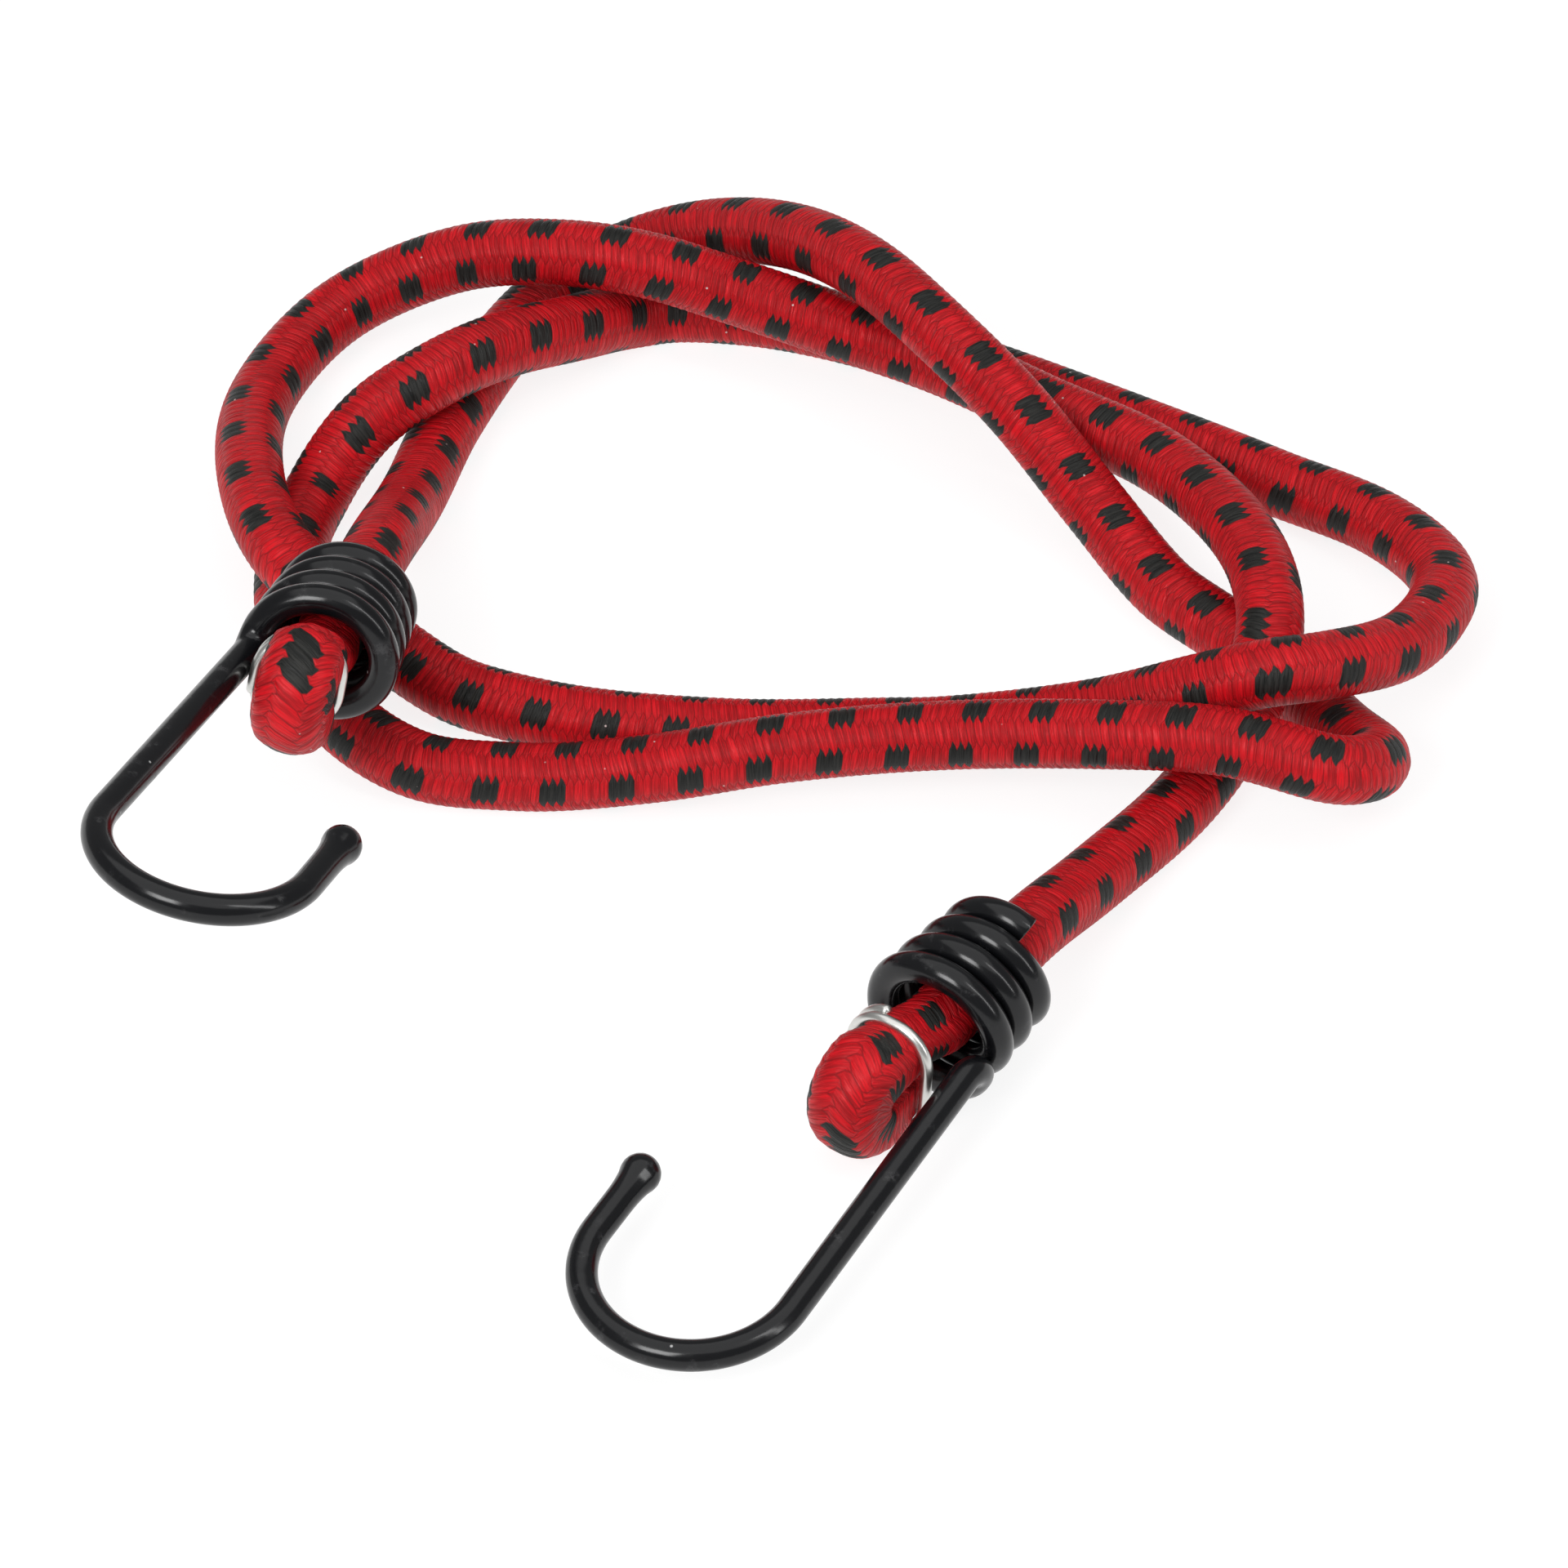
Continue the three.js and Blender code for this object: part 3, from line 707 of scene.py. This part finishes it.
def rolled_tube(
    name: str,
    rings: int,
    sides: int,
    place: Callable[[Array, Array], Array],
    uv: UvMap = UvMap(),
) -> Object:
    """Roll a grid into a closed tube.

    Args:
        name: the piece's name.
        rings: spans along the tube.
        sides: spans round it.
        place: gives points in metres for shares along and round the tube.
        uv: the UV map's size and start.

    Returns:
        The new piece, with a UV map named braid.
    """
    grid = bmesh.new()
    bmesh.ops.create_grid(grid, x_segments=rings, y_segments=sides, size=0.5)
    mesh = bpy.data.meshes.new(name)
    grid.to_mesh(mesh)
    flat = np.empty(len(mesh.vertices) * 3)
    mesh.vertices.foreach_get("co", flat)
    along = np.round((flat[0::3] + 0.5) * rings) / rings
    around = np.round((flat[1::3] + 0.5) * sides) / sides
    corners = np.empty(len(mesh.loops), dtype=np.int32)
    mesh.loops.foreach_get("vertex_index", corners)
    shares = np.stack([along[corners] * uv.along + uv.start, around[corners] * uv.around], axis=1)
    layer = mesh.uv_layers.new(name="braid")
    layer.data.foreach_set("uv", shares.ravel().astype(np.float32))
    mesh.vertices.foreach_set("co", place(along, around).ravel())
    grid.clear()
    grid.from_mesh(mesh)
    bmesh.ops.remove_doubles(grid, verts=grid.verts, dist=MERGE)
    rims = [edge for edge in grid.edges if edge.is_boundary]
    bmesh.ops.holes_fill(grid, edges=rims, sides=0)
    bmesh.ops.recalc_face_normals(grid, faces=grid.faces)
    grid.to_mesh(mesh)
    grid.free()
    mesh.polygons.foreach_set("use_smooth", np.ones(len(mesh.polygons), dtype=bool))
    piece = bpy.data.objects.new(name, mesh)
    bpy.context.scene.collection.objects.link(piece)
    return piece


def dress(piece: Object, body: Body, slot: Slot, material: Material, *nodes: str) -> None:
    """Give a piece its material and its body, and hide the solids that it stands for.

    Args:
        piece: the piece.
        body: the body that it moves with.
        slot: the record's slot for its finish; not used.
        material: its material.
        *nodes: solids that it stands for.
    """
    piece.data.materials.append(material)
    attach(piece, body.value)
    if nodes:
        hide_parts(*nodes)
    LOG.info("%s: %d faces on %s", piece.name, len(piece.data.polygons), body.value)


@dataclass(frozen=True)
class Braid:
    """The woven relief: strokes along a tube, in columns round it, leaning by turns."""

    stroke: float = 0.965
    columns: int = 8
    sides_per_column: int = 6
    relief: float = 0.035
    crown: float = 0.05
    slant: float = 1.0

    @property
    def sides(self) -> int:
        """Spans round the tube."""
        return self.columns * self.sides_per_column

    def relief_at(self, row: Array, column: Array) -> tuple[Array, Array]:
        """Work out the relief of the strokes.

        Args:
            row: strokes along the tube.
            column: columns round the tube.

        Returns:
            The lean along the tube, in strokes, and the height of the surface in millimetres.
        """
        place = np.minimum(np.floor(column), self.columns - 1)
        within = column - place
        sign = np.where(place % 2 == 0, 1.0, -1.0)
        edge = np.abs(2.0 * within - 1.0)
        lean = self.slant * sign * (within - 0.5)
        stroke = -sign * np.cos(2.0 * np.pi * row) * (1.0 - edge ** 4)
        return lean, self.relief * stroke + self.crown * (1.0 - edge ** 2)


@dataclass(frozen=True)
class LooseCord:
    """The long braided cord between the two coils."""

    diameter: float = 7.8
    flat_depth: float = 0.78
    end_face: float = -7.0
    samples_per_span: int = 40
    first_samples: int = 20
    last_samples: int = 16
    line_samples: int = 4000
    soft_reach: int = 12
    path_step: int = 8
    floor_gap: float = 0.02
    phase: int = 6
    roll: float = 54.0
    twist: float = 0.233
    depth_share: float = 0.82
    braid: Braid = Braid(stroke=0.9625, slant=0.5)

    def line(self) -> Line:
        """Draw the cord's centre from inside one coil to inside the other.

        Returns:
            The cord's line, in millimetres from the middle of the picture.
        """
        def on_axis(hook: HookPlace, x: float) -> Array:
            """Give a place on a coil's axis."""
            return np.array(hook.mouth) + x * hook.basis[0]

        first_run = [on_axis(HOOK_A, self.end_face), on_axis(HOOK_A, -HOOK_A.straight_run)]
        last_run = [on_axis(HOOK_B, -HOOK_B.straight_run), on_axis(HOOK_B, self.end_face)]
        rounds = [np.array(place) for place in FIRST_ROUND + SECOND_ROUND + THIRD_ROUND]
        points = np.array(first_run + rounds + last_run)
        curve = centripetal_spline(points, self.samples_per_span)
        curve = curve[self.samples_per_span:-self.samples_per_span]
        curve = np.vstack([np.linspace(first_run[0], curve[0], self.first_samples)[:-1], curve])
        curve = np.vstack([curve, np.linspace(curve[-1], last_run[1], self.last_samples)[1:]])
        curve[:, 2] = np.maximum(curve[:, 2], self.diameter / 2 - self.flat_depth)
        return Line.through(self.smoothed(curve))

    def smoothed(self, points: Array) -> Array:
        """Even out the small kinks of a line, with its ends and length kept.

        Args:
            points: the line.

        Returns:
            The line at even steps, softened.
        """
        line = resampled(points, self.line_samples)
        reach = self.soft_reach
        weights = np.hanning(2 * reach + 3)[1:-1]
        padded = np.pad(line, ((reach, reach), (0, 0)), mode="reflect", reflect_type="odd")
        soft = [np.convolve(column, weights / weights.sum(), mode="valid") for column in padded.T]
        return np.stack(soft, axis=1)

    def strokes_along(self, line: Line) -> Array:
        """Count the strokes of the weave up to each point of the line."""
        return run_lengths(line.points * [1.0, self.depth_share, 1.0]) / self.braid.stroke

    def build(self, finishes: Finishes) -> Object:
        """Make the braided tube.

        Args:
            finishes: the materials.

        Returns:
            The cord's piece.
        """
        line = self.line()
        braid = self.braid
        counts = self.strokes_along(line)
        rows = round(counts[-1])
        counts = counts * (rows / counts[-1])

        def place(along: Array, around: Array) -> Array:
            """Place points of the woven surface.

            Args:
                along: shares along the tube.
                around: shares round it.

            Returns:
                The points, in metres.
            """
            row = along * rows
            lean, height = braid.relief_at(row, around * braid.columns)
            runs = np.interp(row + lean, counts, line.runs)
            angle = np.radians(self.roll + self.twist * runs) - 2.0 * np.pi * around
            points = line.around(runs, angle, self.diameter / 2 - braid.crown + height)
            points[:, 2] = np.maximum(points[:, 2], self.floor_gap)
            return (points + ORIGIN_SHIFT) * MM

        uv = UvMap(rows, braid.columns, self.phase)
        piece = rolled_tube("braid_main", 2 * rows, braid.sides, place, uv)
        dress(piece, Body.CORD, Slot.COVER, finishes.braid, "cover_main", "core_main")
        return piece

    def declare(self) -> None:
        line = self.line()


@dataclass(frozen=True)
class FoldedEnd:
    """A cord end: out of the coil, up through the crimp ring, round the fold and back to its tail."""

    name: str
    hook: HookPlace
    body: Body
    cord_radius: float = 3.9
    start: float = -6.7
    rise_start: float = -2.0
    rise_half_height: float = 3.2
    rise_half_width: float = 3.8
    fold_radius: float = 4.0
    fold_half_height: float = 3.75
    fold_half_width: float = 4.35
    crimp_offset: float = 3.25
    crimp_half_height: float = 3.15
    crimp_half_width: float = 4.05
    crimp_half_length: float = 0.8
    crimp_shift: float = 0.0
    swell: float = 0.0
    tail: float = 1.45
    core_share: float = 0.66
    inner_press: float = 2.4
    outer_press: float = 0.3
    rise_press: float = 0.3
    swell_press: float = 0.8
    swell_run: float = 0.9
    fold_stations: int = 9
    samples_per_span: int = 24
    core_rings: int = 60
    core_sides: int = 18
    phase: int = 0
    roll: float = 0.0
    braid: Braid = Braid(stroke=1.12)

    def stations(self) -> Array:
        """List the cord's sections along the end.

        Returns:
            Rows of x, rise, side shift, half height, half width, turn, and how far it is pressed,
            from 0 to 1.
        """
        ring = self.hook.ring_place
        shift = self.hook.fold_shift
        bulge = ring + self.hook.fold_reach
        upright = math.pi / 2
        radius = self.cord_radius
        crimp = (shift + self.crimp_shift, self.crimp_half_height, self.crimp_half_width)
        back = ring - self.crimp_half_length
        rise = (self.rise_start + back) / 2
        rising = (self.crimp_offset / 2, shift / 2, self.rise_half_height, self.rise_half_width)
        swollen = (self.crimp_half_height + self.swell / 2, self.rise_half_width)
        highest = self.crimp_offset + self.swell / 2
        rows = [
            (self.start, 0.0, 0.0, radius, radius, upright, 0.0),
            (self.rise_start, 0.0, 0.0, radius, radius, upright, 0.0),
            (rise, *rising, upright, self.rise_press),
            (back - self.swell_run, highest, shift, *swollen, upright, self.swell_press),
            (back, self.crimp_offset, *crimp, upright, 1.0),
            (ring + self.crimp_half_length, self.crimp_offset, *crimp, upright, 1.0),
        ]
        for turn in np.linspace(upright, -upright, self.fold_stations):
            across = self.fold_radius * math.sin(turn)
            ahead = bulge + self.fold_radius * math.cos(turn)
            rows.append((ahead, across, shift, self.fold_half_height, self.fold_half_width, turn, 1.0))
        rows += [
            (ring + self.crimp_half_length, -self.crimp_offset, *crimp, -upright, 1.0),
            (ring - self.tail, -self.crimp_offset, *crimp, -upright, 1.0),
        ]
        return np.array(rows)

    def build(self, finishes: Finishes) -> list[Object]:
        """Make the folded cover and the core that shows at its cut tail.

        Args:
            finishes: the materials.

        Returns:
            The cover's piece and the core's.
        """
        samples = centripetal_spline(self.stations(), self.samples_per_span)
        side = self.hook.fold_side
        points = np.stack([samples[:, 0], samples[:, 2], side * samples[:, 1]], axis=1)
        line = Line.through(points, np.array([0.0, 1.0, 0.0]))
        turns = samples[:, 5]
        heights = np.stack([side * np.cos(turns), np.zeros(len(turns)), np.sin(turns)], axis=1)
        braid = self.braid
        rows = round(line.length / braid.stroke)

        def oval(runs: Array, angle: Array, inset: Array, share: float) -> Array:
            """Place points on the pressed section, set in and scaled.

            Args:
                runs: distances along the end.
                angle: the turn round it, in radians.
                inset: what is added to the half height and half width.
                share: what the section is scaled by.

            Returns:
                The points, in metres.
            """
            sizes = line.read(samples[:, 3:5], runs)
            inner = side * np.sin(angle) < 0.0
            power = 2.0 + line.read(samples[:, 6], runs) * np.where(inner, self.inner_press, self.outer_press)
            power = 2.0 / power
            wide = signed_power(np.cos(angle), power) * (sizes[:, 1] * share + inset)
            high = signed_power(np.sin(angle), power) * (sizes[:, 0] * share + inset)
            places = line.read(line.points, runs) + high[:, None] * line.read(heights, runs)
            places[:, 1] += wide
            return self.hook.to_part(places)

        def place_cover(along: Array, around: Array) -> Array:
            """Place points of the woven cover.

            Args:
                along: shares along the tube.
                around: shares round it.

            Returns:
                The points, in metres.
            """
            lean, height = braid.relief_at(along * rows, around * braid.columns)
            runs = np.clip((along + lean / rows) * line.length, 0.0, line.length)
            return oval(runs, math.radians(self.roll) - 2.0 * np.pi * around, height - braid.crown, 1.0)

        def place_core(along: Array, around: Array) -> Array:
            """Place points of the core."""
            runs = along * line.length
            return oval(runs, -2.0 * np.pi * around, np.zeros(len(runs)), self.core_share)

        uv = UvMap(rows, braid.columns, self.phase)
        cover = rolled_tube(f"braid_end_{self.name}", 2 * rows, braid.sides, place_cover, uv)
        dress(cover, self.body, Slot.COVER, finishes.braid, f"cover_end_{self.name}")
        core = rolled_tube(f"strands_end_{self.name}", self.core_rings, self.core_sides, place_core)
        dress(core, self.body, Slot.CORE, finishes.rubber, f"core_end_{self.name}")
        return [cover, core]


@dataclass(frozen=True)
class CrimpRing:
    """A soft wire bent once and a bit more round both strands, its rear end lapped behind its front one."""

    name: str
    hook: HookPlace
    body: Body
    wire_radius: float = 0.68
    half_height: float = 7.1
    half_width: float = 4.9
    corner: float = 4.2
    lap_drop: float = 3.0
    lap_end: float = 80.0
    lap_side: int = 1
    lead: float = 1.35
    lean: float = 1.2
    yaw: float = 0.0
    ahead: float = 0.3
    shift: float = 0.0
    lift: float = 0.0
    end_share: float = 0.72
    end_run: float = 0.35
    corner_samples: int = 14
    samples: int = 240
    sides: int = 16
    spans: int = 180

    def bend(self) -> Array:
        """Draw the ring's bend in its own plane, from its hidden front end once round to the top.

        Returns:
            Points across and up the ring, in millimetres.
        """
        straight = np.array([self.half_width - self.corner, self.half_height - self.corner])
        arcs = [
            (1, 1, 0.0, 90.0),
            (-1, 1, 90.0, 180.0),
            (-1, -1, 180.0, 270.0),
            (1, -1, -90.0, 0.0),
            (1, 1, 0.0, self.lap_end),
        ]
        places = [np.array([[self.half_width, straight[1] - self.lap_drop]])]
        for sign_x, sign_y, start, end in arcs:
            middle = straight * [sign_x, sign_y]
            angles = np.radians(np.linspace(start, end, self.corner_samples))
            places.append(middle + self.corner * np.stack([np.cos(angles), np.sin(angles)], axis=1))
        return np.vstack(places)

    def centre_line(self) -> Array:
        """Lead the bend back along the cord, so that its end lies behind its start.

        Returns:
            The wire's centre in the hook's frame, in millimetres.
        """
        bend = self.bend()
        even = np.linspace(0.0, run_lengths(bend)[-1], self.samples)
        bend = resampled(bend, self.samples)
        once = 4.0 * (self.half_width + self.half_height) - (8.0 - 2.0 * math.pi) * self.corner
        across = self.lap_side * bend[:, 0]
        x = self.hook.ring_place + self.ahead + self.lead * (0.5 - even / once)
        x = x - self.lean * bend[:, 1] / self.half_height - self.yaw * across
        y = across + self.hook.fold_shift + self.shift
        return np.stack([x, y, self.hook.fold_side * bend[:, 1] + self.lift], axis=1)

    def build(self, finishes: Finishes) -> Object:
        """Make the ring.

        Args:
            finishes: the materials.

        Returns:
            The ring's piece.
        """
        line = Line.through(self.centre_line(), np.array([1.0, 0.0, 0.0]))

        def place(along: Array, around: Array) -> Array:
            """Place points of the wire, a little thinner at its ends.

            Args:
                along: shares along the tube.
                around: shares round it.

            Returns:
                The points, in metres.
            """
            runs = along * line.length
            ends = np.minimum(runs, line.length - runs)
            blunt = np.sqrt(smoothstep(ends, 0.0, self.end_run))
            radius = self.wire_radius * (self.end_share + (1.0 - self.end_share) * blunt)
            return self.hook.to_part(line.around(runs, 2.0 * np.pi * around, radius))

        piece = rolled_tube(f"crimp_ring_{self.name}", self.spans, self.sides, place)
        dress(piece, self.body, Slot.RING, finishes.ring, f"hog_ring_{self.name}")
        return piece


@dataclass(frozen=True)
class WireHook:
    """A dipped wire hook: coil, elbow, shank, bowl and ball tip, drawn as one wire."""

    name: str
    hook: HookPlace
    body: Body
    wire_radius: float = 1.76
    turns: float = 3.7
    pitch: float = 3.85
    mouth_radius: float = 7.4
    rear_radius: float = 6.05
    shank_angle: float = 180.0
    shank_lean: float = -7.5
    elbow_radius: float = 2.8
    shank_reach: float = 40.6
    bowl_radius: float = 12.1
    bowl_sweep: float = 180.0
    tip_length: float = 9.0
    ball_radius: float = 2.3
    end_run: float = 5.0
    cut_fillet: float = 0.22
    cut_steps: tuple[float, ...] = (0.1, 0.5, 1.2)
    neck_swell: float = 0.35
    neck_run: float = 2.2
    coil_samples: int = 420
    elbow_samples: int = 16
    shank_samples: int = 40
    bowl_samples: int = 60
    tip_samples: int = 14
    sides: int = 32
    step: float = 0.5

    def centre_line(self) -> Array:
        """Draw the wire's centre from its cut end to the far side of its ball.

        Returns:
            The centre in the hook's frame, in millimetres.
        """
        seat = math.radians(self.shank_angle)
        whole = 2.0 * math.pi * self.turns
        bend = self.elbow_radius / self.mouth_radius
        lean = math.radians(self.shank_lean)
        ahead = np.array([math.cos(lean), math.sin(lean), 0.0])
        aside = np.array([-math.sin(lean), math.cos(lean), 0.0])

        def on_coil(angle: Array, x: Array, radius: Array) -> Array:
            """Give places round the coil's axis."""
            return np.stack([x, radius * np.cos(angle), radius * np.sin(angle)], axis=1)

        turn = np.linspace(whole + self.end_run / self.rear_radius, bend, self.coil_samples)
        taper = self.mouth_radius + (self.rear_radius - self.mouth_radius) * turn / whole
        coil = on_coil(seat - turn, -self.pitch * turn / (2.0 * math.pi), taper)
        curl = np.linspace(0.0, math.pi / 2, self.elbow_samples)[1:]
        reach = coil[-1, 0] + self.elbow_radius * (1.0 - np.cos(curl))
        elbow = on_coil(seat - bend * (1.0 - np.sin(curl)), reach, np.full(len(curl), self.mouth_radius))
        foot = np.array([0.0, -self.mouth_radius, 0.0])
        sweep = np.radians(np.linspace(0.0, self.bowl_sweep, self.bowl_samples))
        forward = self.shank_reach + self.bowl_radius * np.sin(sweep)
        over = self.bowl_radius * (1.0 - np.cos(sweep))
        bowl = foot + forward[:, None] * ahead + over[:, None] * aside
        shank = np.linspace(elbow[-1], bowl[0], self.shank_samples)[1:-1]
        out = math.cos(sweep[-1]) * ahead + math.sin(sweep[-1]) * aside
        beyond = np.linspace(0.0, self.tip_length + self.ball_radius, self.tip_samples)[1:]
        tip = bowl[-1] + beyond[:, None] * out
        return np.vstack([coil, elbow, shank, bowl, tip])

    def radius_along(self, runs: Array, length: float) -> Array:
        """Give the wire's radius along it, with a cut end and a ball at the tip.

        Args:
            runs: distances along the wire.
            length: its whole length.

        Returns:
            The radius at each distance.
        """
        fillet = self.cut_fillet
        cut = np.minimum(runs, fillet)
        wire = self.wire_radius - fillet + np.sqrt(np.maximum(fillet ** 2 - (fillet - cut) ** 2, 0.0))
        wire = np.where(runs <= 0.0, 0.0, wire)
        middle = length - self.ball_radius
        ball = np.sqrt(np.maximum(self.ball_radius ** 2 - (runs - middle) ** 2, 0.0))
        neck = self.neck_swell * np.exp(-(np.maximum(middle - runs, 0.0) / self.neck_run) ** 2)
        wire = np.where(runs > middle, 0.0, wire + neck)
        return np.maximum(wire, ball)

    def build(self, finishes: Finishes) -> Object:
        """Make the coated wire.

        Args:
            finishes: the materials.

        Returns:
            The hook's piece.
        """
        line = Line.through(self.centre_line())
        spans = round(line.length / self.step)
        even = np.linspace(0.0, 1.0, spans + 1)
        ball = 1.0 - 2.0 * self.ball_radius / line.length
        tip = even > ball
        share = (even[tip] - ball) / (1.0 - ball)
        even[tip] = ball + (1.0 - ball) * np.sin(share * math.pi / 2)
        even[1:len(self.cut_steps) + 1] = np.array(self.cut_steps) * self.cut_fillet / line.length

        def place(along: Array, around: Array) -> Array:
            """Place points of the coated wire.

            Args:
                along: shares along the tube.
                around: shares round it.

            Returns:
                The points, in metres.
            """
            index = np.round(along * spans).astype(int)
            runs = even[index] * line.length
            radius = self.radius_along(runs, line.length)
            return self.hook.to_part(line.around(runs, 2.0 * np.pi * around, radius))

        piece = rolled_tube(f"dipped_hook_{self.name}", spans, self.sides, place)
        dress(piece, self.body, Slot.COATING, finishes.coating, f"hook_coating_{self.name}")
        return piece


@dataclass(frozen=True)
class Lamp:
    """A soft light: its place from the picture's middle, its width and height in metres, and its watts."""

    name: str
    place: tuple[float, float, float]
    size: Span
    power: float


@dataclass(frozen=True)
class Studio:
    """Camera at the photograph's view, pale floor and soft light."""

    elevation: float = 43.0
    focal_pixels: float = 14600.0
    frame_pixels: float = 1920.0
    pixels_per_mm: float = 10.865
    sensor: float = 36.0
    clip: Span = (0.05, 50.0)
    floor_size: float = 3.0
    floor_colour: Colour = (0.2, 0.2, 0.2, 1.0)
    floor_roughness: float = 0.9
    floor_glow: float = 0.85
    sky: float = 0.25
    lamps: tuple[Lamp, ...] = (
        Lamp("overhead", (0.0, 0.0, 1.4), (2.2, 2.2), 14.5),
        Lamp("front_left", (-0.6, -0.9, 0.95), (0.55, 0.55), 11.0),
        Lamp("right_strip", (0.95, -0.45, 0.8), (0.12, 1.3), 4.5),
    )

    def aim(self) -> Array:
        """Give the point on the floor at the middle of the picture, in metres."""
        return ORIGIN_SHIFT * MM

    def camera(self) -> None:
        """Set the camera."""
        lens = bpy.data.cameras.new("camera")
        lens.sensor_width = self.sensor
        lens.lens = self.sensor * self.focal_pixels / self.frame_pixels
        lens.clip_start, lens.clip_end = self.clip
        distance = self.focal_pixels / self.pixels_per_mm * MM
        lift = math.radians(self.elevation)
        camera = bpy.data.objects.new("camera", lens)
        camera.location = self.aim() + distance * np.array([0.0, -math.cos(lift), math.sin(lift)])
        camera.rotation_euler = (math.pi / 2 - lift, 0.0, 0.0)
        bpy.context.scene.collection.objects.link(camera)
        bpy.context.scene.camera = camera

    def floor(self) -> None:
        """Lay the pale floor."""
        sheet = bmesh.new()
        bmesh.ops.create_grid(sheet, x_segments=2, y_segments=2, size=self.floor_size)
        mesh = bpy.data.meshes.new("floor")
        sheet.to_mesh(mesh)
        sheet.free()
        floor = bpy.data.objects.new("floor", mesh)
        bpy.context.scene.collection.objects.link(floor)
        material, _, shader = new_material("pale_floor")
        shader.inputs["Base Color"].default_value = self.floor_colour
        shader.inputs["Roughness"].default_value = self.floor_roughness
        shader.inputs["Specular IOR Level"].default_value = 0.0
        shader.inputs["Emission Color"].default_value = WHITE
        shader.inputs["Emission Strength"].default_value = self.floor_glow
        mesh.materials.append(material)

    def light(self, lamp: Lamp) -> None:
        """Add one light that faces the bundle.

        Args:
            lamp: the light.
        """
        light = bpy.data.lights.new(lamp.name, "AREA")
        light.shape = "RECTANGLE"
        light.size, light.size_y = lamp.size
        light.energy = lamp.power
        holder = bpy.data.objects.new(lamp.name, light)
        holder.location = lamp.place
        holder.rotation_euler = holder.location.to_track_quat("Z", "Y").to_euler()
        holder.location = self.aim() + np.array(lamp.place)
        bpy.context.scene.collection.objects.link(holder)

    def build(self) -> None:
        """Set camera, floor, lights and world."""
        scene = bpy.context.scene
        scene.view_settings.view_transform = "Standard"
        world = bpy.data.worlds.new("studio")
        world.use_nodes = True
        backdrop = world.node_tree.nodes["Background"]
        backdrop.inputs[0].default_value = WHITE
        backdrop.inputs[1].default_value = self.sky
        scene.world = world
        self.camera()
        self.floor()
        for lamp in self.lamps:
            self.light(lamp)


def main() -> None:
    """Build and dress every piece in order."""
    logging.basicConfig(level=logging.INFO)
    Studio().build()
    finishes = Finishes.build()
    cord = LooseCord()
    main_piece = cord.build(finishes)
    on_cord = []
    folds = (
        FoldedEnd(
            "a", HOOK_A, Body.END_A, crimp_offset=2.7, crimp_half_height=2.5, crimp_half_width=4.1,
            crimp_shift=-0.35, swell=1.0, roll=20.5,
        ),
        FoldedEnd("b", HOOK_B, Body.END_B, phase=5),
    )
    rings = (
        CrimpRing(
            "a", HOOK_A, Body.END_A, half_height=5.4, half_width=4.55,
            lap_side=-1, lean=0.4, yaw=0.25, ahead=0.7, shift=-0.55,
        ),
        CrimpRing("b", HOOK_B, Body.END_B, half_height=6.85, lift=0.45),
    )
    hooks = (WireHook("a", HOOK_A, Body.HOOK_A), WireHook("b", HOOK_B, Body.HOOK_B))
    for fold, ring, hook in zip(folds, rings, hooks):
        on_cord += fold.build(finishes)
        on_cord.append(ring.build(finishes))
        hook.build(finishes)
        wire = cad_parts[f"hook_wire_{hook.name}"]
        wire.data.materials.clear()
        wire.data.materials.append(finishes.steel)
    cord.declare()


if __name__ == "__main__":
    main()
